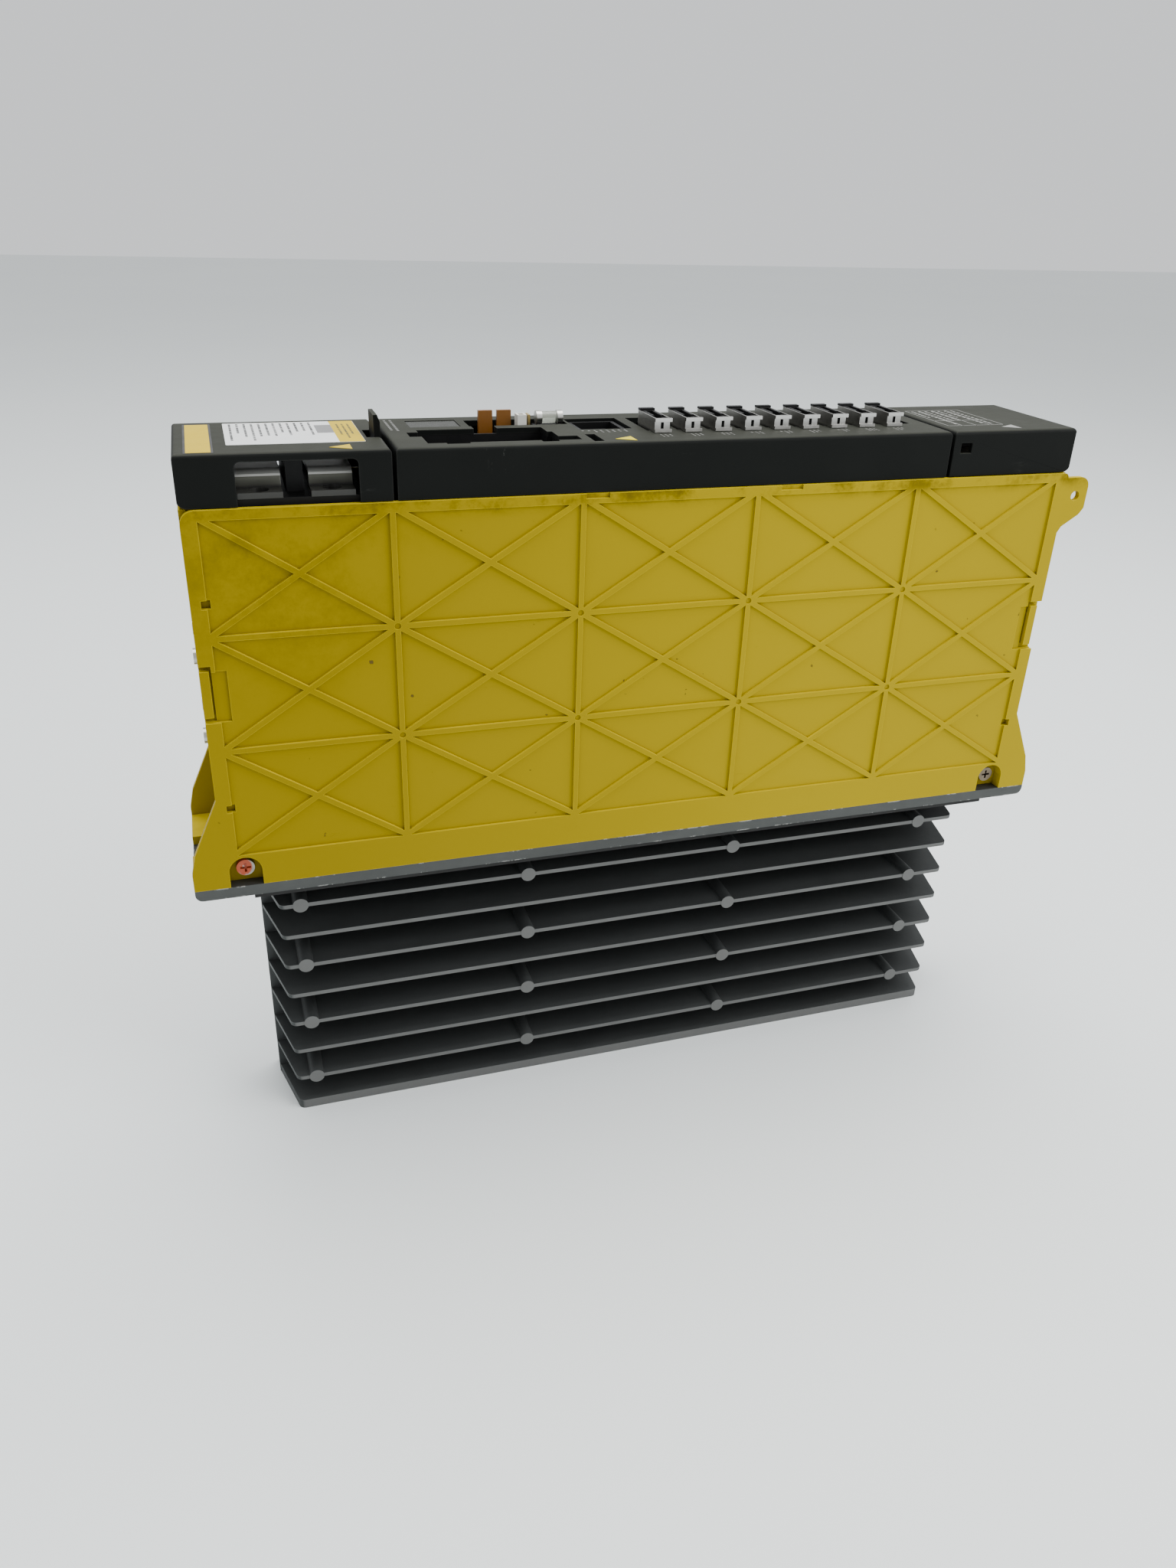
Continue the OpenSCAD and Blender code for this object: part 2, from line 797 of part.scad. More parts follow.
module fan_frame() {
    arm_x = fan_x + fan_t - fan_arm[0];
    color("black") difference() {
        union() {
            difference() {
                span([fan_x, fan_x + fan_t], [-fan_size / 2, fan_size / 2],
                     [fan_z - fan_size / 2, fan_z + fan_size / 2]);
                bar_x(fan_bore_d, [fan_x - over, fan_x + fan_t + over], 0, fan_z);
            }
            intersection() {
                along_x([arm_x, fan_x + fan_t]) translate([0, fan_z]) {
                    for (turn = fan_arm_turns) rotate(turn) square([fan_size, fan_arm[1]], center = true);
                    circle(d = fan_hub_d);
                }
                bar_x(fan_bore_d + over, [arm_x, fan_x + fan_t], 0, fan_z);
            }
        }
        bar_x(fan_shaft_d + 2 * running_gap, [arm_x - over, fan_x + fan_t + over], 0, fan_z);
        fan_screw_places()
            bar_x(fan_screw_d + 2 * screw_gap, [fan_x - over, -body_x + fan_screw_l + over], 0, 0);
    }
}

module fan_rotor() {
    hub = [fan_x + fan_front_gap, fan_x + fan_t - fan_arm[0] - fan_hub_gap];
    blade_root = fan_hub_d / 2 - over;
    blade_tip = fan_bore_d / 2 - fan_tip_gap;
    color("dimgray") {
        bar_x(fan_hub_d, hub, 0, fan_z);
        bar_x(fan_shaft_d, [hub[1] - over, fan_x + fan_t - fan_hub_gap], 0, fan_z);
        for (i = [0:fan_blades - 1]) {
            translate([(hub[0] + hub[1]) / 2, 0, fan_z]) rotate([i * 360 / fan_blades, 0, 0])
                rotate([0, 0, blade_pitch])
                    translate([-blade_chord / 2, -blade_t / 2, blade_root])
                        cube([blade_chord, blade_t, blade_tip - blade_root]);
        }
    }
}

module fan_screws() {
    color("silver") fan_screw_places() translate([-body_x, 0, 0]) rotate([0, -90, 0])
        screw(fan_screw_head, fan_screw_d, fan_screw_l);
}

// ---- Front covers ----

// Closed block with its long and end edges rounded at the top
module cover_block(x) {
    intersection() {
        along_x(x) bridge(cover_y, [z_cover, z_face], cover_r);
        along_y([-half_w, half_w]) polygon(concat(
            [[x[0], z_cover], [x[1], z_cover]],
            arc([x[1] - cover_r, z_face - cover_r], cover_r, 0, 90),
            arc([x[0] + cover_r, z_face - cover_r], cover_r, 90, 180)
        ));
    }
}

module cover_shell(x) {
    difference() {
        cover_block(x);
        span([x[0] + cover_t, x[1] - cover_t], [-cavity_y, cavity_y], [z_cover - over, z_ceiling]);
    }
}

// Cut through a cover's face
module face_cut(x, y) {
    span(x, y, [z_ceiling - over, z_face + over]);
}

// Plan of the battery bay, grown on every side
module bay_plan(grow = 0) {
    for (b = bay_boxes) {
        area([main_x + b[0] - grow, main_x + b[1] + grow], [b[2] - grow, b[3] + grow]);
    }
}

module post_places() {
    for (x = [board_x[0] + post_inset, board_x[1] - post_inset],
         y = [post_inset - board_y, board_y - post_inset]) {
        translate([x, y, 0]) children();
    }
}

function connector_left(i) = connector_x + i * connector_pitch;

module main_front_cover() {
    color("dimgray") difference() {
        union() {
            cover_shell(main_cover_x);
            post_places() bar_z(post_d, 0, 0, [board_top, z_ceiling + over / 2]);
        }
        face_cut(window_x, window_y);
        face_cut(well_x, well_y);
        face_cut(option_x, option_y);
        face_cut(slot_x, slot_y);
        face_cut([main_x + bay_pass[0], main_x + bay_pass[1]], [bay_pass[2], bay_pass[3]]);
        translate([0, 0, z_ceiling - over]) linear_extrude(cover_t + 2 * over) bay_plan();
        for (i = [0:connector_count - 1]) {
            left = connector_left(i) - opening_side;
            face_cut([left, left + (i == connector_count - 1 ? last_opening_w : opening_w)],
                     [connector_y + connector_step, opening_far_y]);
        }
        post_places() bar_z(board_screw_d, 0, 0, [board_top - over, z_ceiling - post_roof]);
    }
}

// The left hinge's room in a cover: end notches, blind bores and a round lower corner
module hinge_room() {
    both_sides() {
        span([-body_x - over, -hinge_x + hinge_ear_r + hinge_slot],
             [hinge_ear_y[0] - hinge_slot, cavity_y], [z_cover - over, hinge_z + hinge_room_h]);
        bar_y(hinge_pin_d + 2 * running_gap, -hinge_x, [cavity_y - over, cavity_y + hinge_bite],
              hinge_z);
    }
    along_y([-half_w, half_w]) difference() {
        area([-body_x - over, -hinge_x], [z_cover - over, hinge_z]);
        translate([-hinge_x, hinge_z]) circle(r = hinge_corner_r);
    }
}

// Window in a side wall where the link bars pass, open at the bottom
module bar_window() {
    along_y([cavity_y - over, half_w]) translate([(bar_window_x[0] + bar_window_x[1]) / 2, 0])
        bridge((bar_window_x[1] - bar_window_x[0]) / 2, [z_cover - over, bar_window_top],
               bar_window_r);
}

module left_terminal_cover() {
    slot_y = [latch_y[0] - latch_side_gap, latch_y[1] + latch_side_gap];
    color("dimgray") difference() {
        union() {
            cover_shell(left_cover_x);
            for (y = [slot_y[0] - latch_cheek, slot_y[1]]) {
                span([latch_slot_x, left_cover_x[1] - cover_t + over / 2], [y, y + latch_cheek],
                     [latch_cheek_z, z_ceiling + over / 2]);
            }
        }
        hinge_room();
        both_sides() bar_window();
        span([latch_slot_x, left_cover_x[1] + over], slot_y, [z_cover - over, z_face + over]);
        bar_y(latch_pin_d + 2 * running_gap, latch_pivot[0],
              [latch_y[0] - latch_pin_l - fit_gap, latch_y[1] + latch_pin_l + fit_gap], latch_pivot[1]);
    }
}

// Finger latch: a tongue on two moulded stubs, bevelled at its tip
module left_cover_latch() {
    color("gray") {
        along_y(latch_y) polygon([
            [latch_x[0], latch_pivot[1] - latch_root], [latch_x[1], latch_pivot[1] - latch_root],
            [latch_x[1], latch_top - latch_bevel[1]], [latch_x[1] - latch_bevel[0], latch_top],
            [latch_x[0], latch_top]
        ]);
        bar_y(latch_pin_d, latch_pivot[0], [latch_y[0] - latch_pin_l, latch_y[1] + latch_pin_l],
              latch_pivot[1]);
    }
}

module right_terminal_cover() {
    color("dimgray") difference() {
        cover_shell(right_cover_x);
        mirror([1, 0, 0]) hinge_room();
        both_sides() span([catch_x, catch_x + catch_size[0]], [cavity_y - over, half_w],
                          [catch_top - catch_size[1], catch_top]);
        span([body_x - cover_t - over, body_x + over], [-exit_y, exit_y],
             [z_cover - over, exit_top]);
    }
}

// ---- Face parts ----

module display_window() {
    color("darkslategray") span(
        [window_x[0] + fit_gap, window_x[1] - fit_gap], [window_y[0] + fit_gap, window_y[1] - fit_gap],
        [z_face - window_drop - window_t, z_face - window_drop]
    );
}

module display_module() {
    color("black") span(
        [window_x[0] + display_side, window_x[1] - display_side],
        [window_y[0] + display_side, window_y[1] - display_side],
        [board_top, z_face - window_drop - window_t]
    );
}

module bay_tray() {
    color("black") difference() {
        translate([0, 0, bay_floor]) linear_extrude(z_ceiling - bay_floor) bay_plan(grow = bay_wall);
        translate([0, 0, bay_floor + bay_wall]) linear_extrude(bay_depth) bay_plan(grow = bay_lip);
    }
}

module plug_socket() {
    color("black") difference() {
        span(plug_base_x, [plug_y - plug_base_w / 2, plug_y + plug_base_w / 2],
             [board_top, plug_base_top]);
        for (x = plug_x) {
            span([x - fit_gap, x + plug_size[0] + fit_gap],
                 [plug_y - plug_size[1] / 2 - fit_gap, plug_y + plug_size[1] / 2 + fit_gap],
                 [plug_foot, plug_base_top + over]);
        }
    }
}

module amber_plug(x) {
    color("sienna") span([x, x + plug_size[0]],
                         [plug_y - plug_size[1] / 2, plug_y + plug_size[1] / 2],
                         [plug_foot, plug_top]);
}

module amber_plug_left() {
    amber_plug(plug_x[0]);
}

module amber_plug_right() {
    amber_plug(plug_x[1]);
}

module white_header() {
    y = [fuse_y - header_size[1] / 2, fuse_y + header_size[1] / 2];
    color("white") difference() {
        span([header_x, header_x + header_size[0]], y, [board_top, header_top]);
        span([header_x + header_wall, header_x + header_size[0] - header_wall],
             [y[0] + header_wall, y[1] - header_wall], [header_top - header_depth, header_top + over]);
    }
}

module header_contact() {
    y = [fuse_y - contact_size[1] / 2, fuse_y + contact_size[1] / 2];
    color("goldenrod") {
        span([contact_x, contact_x + contact_t], y, [board_top, header_top]);
        span([contact_x, contact_x + contact_size[0]], y, [board_top, board_top + contact_t]);
    }
}

// ---- Fuse ----

module fuse_blades(grow) {
    for (x = [fuse_x[0] + fuse_cap_l / 2, fuse_x[1] - fuse_cap_l / 2]) {
        span([x - fuse_blade[0] / 2 - grow, x + fuse_blade[0] / 2 + grow],
             [fuse_y - fuse_blade[1] / 2 - grow, fuse_y + fuse_blade[1] / 2 + grow],
             [fuse_base_top - fuse_blade[2] - grow, fuse_z]);
    }
}

module fuse_holder() {
    color("black") difference() {
        span(fuse_base_x, [fuse_y - fuse_base_w / 2, fuse_y + fuse_base_w / 2],
             [board_top, fuse_base_top]);
        fuse_blades(fit_gap);
    }
}

module fuse_body() {
    color("beige", 0.5) bar_x(fuse_body_d, [fuse_x[0] + fuse_cap_l, fuse_x[1] - fuse_cap_l],
                              fuse_y, fuse_z);
}

module fuse_caps() {
    color("silver") {
        for (x = [fuse_x[0], fuse_x[1] - fuse_cap_l]) {
            bar_x(fuse_d, [x, x + fuse_cap_l], fuse_y, fuse_z);
        }
        fuse_blades(0);
    }
}

module option_socket() {
    x = [option_x[0] + option_gap, option_x[1] - option_gap];
    y = [option_y[0] + option_gap, option_y[1] - option_gap];
    mouth_x = [x[0] + option_wall, x[1] - option_wall];
    mouth_y = [y[0] + option_wall, y[1] - option_wall];
    tongue_y = mouth_y[1] - option_tongue_inset;
    color("black") difference() {
        span(x, y, [board_top, z_face - option_gap]);
        difference() {
            span(mouth_x, mouth_y, [board_top + option_floor, z_face]);
            span([mouth_x[0] + option_tongue_inset, mouth_x[1] - option_tongue_inset],
                 [tongue_y - option_tongue_t, tongue_y], [board_top, z_face - option_tongue_drop]);
        }
    }
}

// ---- Signal connectors ----

// A bent metal shell with a lip at each end of its near slot
module connector_shell(i) {
    x = [connector_left(i), connector_left(i) + connector_w];
    far_y = connector_y + connector_l;
    step_y = connector_y + connector_step + fit_gap;
    top = z_face + connector_h;
    foot = z_face + fit_gap;
    inner_x = [x[0] + connector_wall, x[1] - connector_wall];
    middle = (x[0] + x[1]) / 2;
    lip_y = [connector_y - connector_lip[0], connector_y + connector_wall];
    color("silver") difference() {
        union() {
            span(x, [connector_y, far_y], [foot, top]);
            span(x, [step_y, far_y], [board_top, z_face + over]);
            span([x[0], x[1] + connector_lip[0]], lip_y, [top - connector_lip[1], top]);
            span([x[0], x[1] + connector_lip[0]], lip_y, [foot, foot + connector_lip[2]]);
        }
        span(inner_x, [connector_y + connector_wall, far_y - connector_wall], [foot - over, top + over]);
        span(inner_x, [step_y + connector_wall, far_y - connector_wall],
             [board_top - over, z_face + over]);
        span([middle - connector_slot_w / 2, middle + connector_slot_w / 2],
             [connector_y - over, connector_y + 2 * connector_wall],
             [foot + connector_lip[2] + fit_gap, top - connector_lip[1] - fit_gap]);
    }
}

// Contact block in a shell, with a cap behind it and a mating slot along its top
module connector_core(i) {
    inset = connector_wall + core_gap;
    x = [connector_left(i) + inset, connector_left(i) + connector_w - inset];
    y = [connector_y + inset, connector_y + connector_l - inset];
    step_y = connector_y + connector_step + fit_gap + inset;
    middle = (x[0] + x[1]) / 2;
    top = z_face + connector_h;
    difference() {
        union() {
            span(x, [step_y, y[1]], [board_top, top + core_gap]);
            span(x, [y[0], step_y + over], [z_face + 2 * core_gap, top - connector_wall]);
            span([connector_left(i), connector_left(i) + connector_w],
                 [y[1] - core_cap[0] + over, y[1] + over],
                 [top + core_gap / 2, top + core_cap[1]]);
        }
        span([middle - core_slot[0] / 2, middle + core_slot[0] / 2],
             [y[0] + over, y[1] - core_cap[0]], [top - core_slot[1], top + over]);
    }
}

module connector_shell_1() { connector_shell(0); }
module connector_shell_2() { connector_shell(1); }
module connector_shell_3() { connector_shell(2); }
module connector_shell_4() { connector_shell(3); }
module connector_shell_5() { connector_shell(4); }
module connector_shell_6() { connector_shell(5); }
module connector_shell_7() { connector_shell(6); }
module connector_shell_8() { connector_shell(7); }
module connector_shell_9() { connector_shell(8); }

module connector_cores() {
    color("black") for (i = [0:connector_count - 1]) connector_core(i);
}

// ---- Boards ----

module control_board() {
    color("darkgreen") difference() {
        span(board_x, [-board_y, board_y], [board_top - board_t, board_top]);
        post_places() bar_z(board_screw_d + 2 * screw_gap, 0, 0,
                            [board_top - board_t - over, board_top + over]);
    }
}

module board_screws() {
    color("silver") post_places() translate([0, 0, board_top - board_t]) rotate([180, 0, 0])
        screw(board_screw_head, board_screw_d - 2 * screw_gap, board_t + post_d);
}

module interface_board() {
    color("darkgreen") span(interface_x, [interface_y, interface_y + board_t],
                            [power_top, board_top - board_t]);
}

// A row of equal chips on the interface board
module chip_row(chip) {
    for (i = [0:chip_count - 1]) {
        x = interface_x[0] + chip_inset + i * chip_pitch;
        span([x, x + chip[0]], [interface_y - chip[2], interface_y],
             [power_top + chip[3], power_top + chip[3] + chip[1]]);
    }
}

module board_chips() {
    color("black") {
        chip_row(large_chip);
        chip_row(small_chip);
    }
}

module standoff_places() {
    for (x = standoff_x, y = [-standoff_y, standoff_y]) translate([x, y, 0]) children();
}

module power_board() {
    color("darkgreen") difference() {
        span(power_x, [-power_y, power_y], [power_z, power_top]);
        standoff_places() bar_z(standoff_stud_d + 2 * fit_gap, 0, 0, [power_z - over, power_top + over]);
    }
}

module board_standoffs() {
    color("silver") standoff_places() {
        bar_z(standoff_d, 0, 0, [z_flange, power_z]);
        bar_z(standoff_stud_d, 0, 0, [power_z - over, power_top + standoff_nut[1] + fit_gap]);
        bar_z(standoff_nut[0], 0, 0, [power_top, power_top + standoff_nut[1]]);
    }
}

// ---- Power parts ----

module module_places() {
    reach = [module_size[0] / 2 - module_hole_inset, module_size[1] / 2 - module_hole_inset];
    for (centre = module_x, x = [-reach[0], reach[0]], y = [-reach[1], reach[1]]) {
        translate([centre + x, y, 0]) children();
    }
}

module power_module(centre) {
    top = z_flange + module_size[2];
    color("darkslategray") difference() {
        union() {
            span([centre - module_size[0] / 2, centre + module_size[0] / 2],
                 [-module_size[1] / 2, module_size[1] / 2], [z_flange, top]);
            for (i = module_pins, y = [-module_pin_y, module_pin_y]) {
                bar_z(module_pin_d, centre + i * module_pin_pitch, y, [top - over, power_z]);
            }
        }
        module_places() bar_z(module_hole_d, 0, 0, [z_flange - over, top + over]);
        module_places() bar_z(module_bore_d, 0, 0, [z_flange + module_seat, top + over]);
    }
}

module power_module_left() {
    power_module(module_x[0]);
}

module power_module_right() {
    power_module(module_x[1]);
}

module module_screws() {
    color("silver") module_places() translate([0, 0, z_flange + module_seat])
        screw(module_screw_head, module_hole_d - 2 * screw_gap, module_seat + flange_t - fit_gap);
}

module link_capacitor(x) {
    color("navy") difference() {
        bar_z(capacitor_d, x, 0, [power_top, power_top + capacitor_h]);
        translate([x, 0, power_top + capacitor_groove[0]]) rotate_extrude()
            translate([capacitor_d / 2, 0]) circle(r = capacitor_groove[1]);
    }
}

module link_capacitor_left() {
    link_capacitor(capacitor_x[0]);
}

module link_capacitor_right() {
    link_capacitor(capacitor_x[1]);
}

module current_sensors() {
    color("black") for (x = sensor_x) difference() {
        span([x, x + sensor_size[0]], [-sensor_size[1] / 2, sensor_size[1] / 2],
             [power_top, power_top + sensor_size[2]]);
        bar_y(sensor_hole_d, x + sensor_size[0] / 2,
              [-sensor_size[1] / 2 - over, sensor_size[1] / 2 + over], power_top + sensor_size[2] / 2);
    }
}

module brake_relay() {
    color("white") span(relay_x, relay_y, [power_top, power_top + relay_h]);
}

// ---- Link bars and terminals ----

// A bar bridges the cover's two side windows: high in the middle, with a tab at each side
module link_bar(x) {
    color("silver") difference() {
        union() {
            along_x([x - bar_w / 2, x + bar_w / 2]) difference() {
                bridge(bar_tab_y[0], [bar_tab_z - bar_t, bar_top_z], bar_bend_r);
                bridge(bar_tab_y[0] - bar_t, [bar_tab_z - bar_t - over, bar_top_z - bar_t],
                       bar_bend_r - bar_t);
            }
            both_sides() span([x - bar_w / 2, x + bar_w / 2],
                              [bar_tab_y[0] - bar_t, bar_tab_y[1]], [bar_tab_z - bar_t, bar_tab_z]);
        }
        bar_hole_places(x) bar_z(bar_hole_d, 0, 0, [bar_tab_z - bar_t - over, bar_tab_z + over]);
    }
}

module bar_hole_places(x) {
    for (y = [-bar_hole_y, bar_hole_y]) translate([x, y, 0]) children();
}

module link_bar_left() {
    link_bar(bar_x[0]);
}

module link_bar_right() {
    link_bar(bar_x[1]);
}

module link_leads() {
    color("peru") for (x = bar_x) {
        span([x - lead_w / 2, x + lead_w / 2], lead_y, [power_top, base_z[1]]);
    }
}

module terminal_base() {
    middle = (bar_x[0] + bar_x[1]) / 2;
    color("black") difference() {
        union() {
            span(base_x, [-base_y, base_y], base_z);
            span([middle - barrier_t / 2, middle + barrier_t / 2], [-barrier_y, barrier_y],
                 [base_z[1] - over, barrier_top]);
            span([-body_x + plate_t, base_x[0] + over], [-arm_y, arm_y], [base_z[0], base_z[0] + arm_h]);
        }
        for (x = bar_x) {
            bar_hole_places(x) bar_z(bar_hole_d, 0, 0, [base_z[1] - base_hole_depth, base_z[1] + over]);
            span([x - lead_w / 2 - fit_gap, x + lead_w / 2 + fit_gap],
                 [lead_y[0] - fit_gap, lead_y[1] + fit_gap], [base_z[0] - over, base_z[1] + over]);
        }
    }
}

module motor_terminal_places() {
    for (i = [0:motor_count - 1]) translate([0, -base_y + (i + 0.5) * motor_pitch, 0]) children();
}

module motor_terminal_block() {
    color("black") difference() {
        union() {
            span(motor_x, [-base_y, base_y], motor_z);
            span([motor_x[1] - over, body_x - plate_t], [-arm_y, arm_y],
                 [motor_z[0], motor_z[0] + arm_h]);
        }
        motor_terminal_places() {
            span([motor_x[0] + motor_back, motor_x[1] + over],
                 [-motor_pitch / 2 + motor_wall, motor_pitch / 2 - motor_wall],
                 [motor_z[1] - motor_bay_depth, motor_z[1] + over]);
            bar_z(motor_screw_d, motor_screw_x, 0,
                  [motor_tab_top - motor_screw_l - fit_gap, motor_z[1]]);
        }
    }
}

module motor_terminal_tabs() {
    color("goldenrod") motor_terminal_places() difference() {
        span([motor_x[0] + 2 * motor_back, motor_x[1] - motor_wall],
             [-motor_pitch / 2 + 2 * motor_wall, motor_pitch / 2 - 2 * motor_wall],
             [motor_z[1] - motor_bay_depth, motor_tab_top]);
        bar_z(motor_screw_d, motor_screw_x, 0, [motor_z[1] - motor_bay_depth - over, motor_z[1]]);
    }
}

module motor_terminal_screws() {
    color("silver") motor_terminal_places() translate([motor_screw_x, 0, motor_tab_top])
        screw(motor_screw_head, motor_screw_d - 2 * screw_gap, motor_screw_l);
}

heat_sink();
flange_gasket();
mounting_flange();
sink_screws();
near_side_shell();
far_side_shell();
fan_end_wall();
vent_end_wall();
shell_screws_left();
shell_screws_right();
fan_frame();
fan_rotor();
fan_screws();
main_front_cover();
left_terminal_cover();
left_cover_latch();
right_terminal_cover();
display_window();
display_module();
bay_tray();
plug_socket();
amber_plug_left();
amber_plug_right();
white_header();
header_contact();
fuse_holder();
fuse_body();
fuse_caps();
option_socket();
control_board();
board_screws();
interface_board();
board_chips();
power_board();
board_standoffs();
power_module_left();
power_module_right();
module_screws();
link_capacitor_left();
link_capacitor_right();
current_sensors();
brake_relay();
link_bar_left();
link_bar_right();
link_leads();
terminal_base();
motor_terminal_block();
motor_terminal_tabs();
motor_terminal_screws();
connector_shell_1();
connector_shell_2();
connector_shell_3();
connector_shell_4();
connector_shell_5();
connector_shell_6();
connector_shell_7();
connector_shell_8();
connector_shell_9();
connector_cores();
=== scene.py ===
import json
import math
import random

import bpy
from mathutils import Matrix, Vector


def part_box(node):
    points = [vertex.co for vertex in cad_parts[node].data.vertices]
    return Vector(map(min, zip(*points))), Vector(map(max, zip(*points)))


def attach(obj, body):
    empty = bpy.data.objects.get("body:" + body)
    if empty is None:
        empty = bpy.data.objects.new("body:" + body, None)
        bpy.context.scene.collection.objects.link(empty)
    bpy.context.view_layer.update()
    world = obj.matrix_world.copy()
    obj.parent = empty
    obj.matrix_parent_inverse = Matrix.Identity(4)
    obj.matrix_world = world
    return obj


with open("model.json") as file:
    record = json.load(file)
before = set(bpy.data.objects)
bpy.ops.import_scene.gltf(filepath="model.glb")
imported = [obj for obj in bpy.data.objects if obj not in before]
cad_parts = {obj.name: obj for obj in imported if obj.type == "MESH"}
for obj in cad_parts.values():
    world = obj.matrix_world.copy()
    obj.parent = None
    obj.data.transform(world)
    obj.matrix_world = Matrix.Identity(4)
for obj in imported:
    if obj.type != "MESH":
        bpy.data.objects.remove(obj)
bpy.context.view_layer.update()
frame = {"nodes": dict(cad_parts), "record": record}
NODES = frame["nodes"]
MM = 0.001

# ---- Places from the frame, in metres ----

SHELL_LOW, SHELL_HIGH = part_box("near_side_shell")
MAIN_LOW, MAIN_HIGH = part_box("main_front_cover")
LEFT_COVER_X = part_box("left_terminal_cover")[0].x
RIGHT_COVER_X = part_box("right_terminal_cover")[0].x
SINK_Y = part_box("heat_sink")[0].y
CONNECTORS = sum(name.startswith("connector_shell_") for name in NODES)

# ---- Labels, in mm ----

# Rectangles are x0, x1, y0, y1, with X from a cover's low end and Y from the middle;
# margins and borders are the distances in from the same four sides

NAMEPLATE = (18.0, 65.6, -15.3, 24.2)
NAMEPLATE_ROUND = 0.6
NAMEPLATE_MARGIN = (2.0, 1.0, 2.0, 2.0)
STRIP_W = 9.0
STRIP_INSET = 0.1
STRIP_MARGIN = (2.0, 1.0, 3.0, 6.0)
BLOCK_W = 6.0
BLOCK_Y = (2.0, 17.0)
BLANK_LABEL = (3.9, 13.6, -27.2, 24.0)
BLANK_ROUND = 0.4
BLANK_BORDER = (0.8, 0.8, 0.7, 1.0)
BLANK_INNER_ROUND = 0.3
MAIN_LEFT_PRINT = (3.2, 7.6, -22.0, 24.0)
MAIN_SOCKET_PRINT = (74.0, 92.0, -10.5, -6.2)
CONNECTOR_PRINT = (1.0, 6.0, -22.0, -17.5)
RIGHT_TABLE = (4.0, 30.0, -17.0, 17.0)
RIGHT_TABLE_COLUMNS = 4
RIGHT_TABLE_HEAD = 11.0
RIGHT_TABLE_LINE = 0.35
RIGHT_TABLE_MARGIN = (2.0, 2.0, 1.5, 1.5)

# Triangles are the tip's x and y, the base's x, and the base's two ends in y
LEFT_TRIANGLE = (51.9, -23.4, 59.4, -27.2, -19.4)
MAIN_TRIANGLE = (81.9, -23.4, 89.2, -27.2, -19.6)
RIGHT_TRIANGLE = (26.2, -21.5, 33.2, -25.3, -17.8)

# Heights of the labels and the ink, in metres
LIFT = 0.02 * MM
LABEL_T = 0.12 * MM
INK_T = 0.02 * MM
LABEL_BASE = MAIN_HIGH.z + LIFT
LABEL_TOP = LABEL_BASE + LABEL_T
CORNER_STEPS = 5

# ---- Softened edges ----

EDGE_R = 0.3 * MM
EDGE_SEGMENTS = 2
EDGE_ANGLE = math.radians(38)
FLAT_ANGLE = math.radians(0.8)
WELD_DISTANCE = 0.0005 * MM

# ---- Camera, light and floor, in metres, mm of lens and watts ----

CAMERA_PLACE = (-0.1660, -0.4398, 0.3796)
CAMERA_RIGHT = (0.9537, -0.2992, 0.0315)
CAMERA_BACK = (-0.2798, -0.8434, 0.4587)
LENS = 26.72
SENSOR = 36.0
CLIP_START = 0.01
LIGHT_TARGET = (0.0, 0.0, 0.15)
KEY_LIGHT = {"place": (0.05, 0.2, 1.8), "size": 1.5, "power": 44.0}
SIDE_LIGHT = {"place": (1.1, -0.7, 1.0), "size": 1.0, "power": 18.0}
SKY = (0.96, 0.98, 1.0, 1.0)
SKY_STRENGTH = 0.95
FLOOR_HALF = 6.0


# ---- Shader building ----

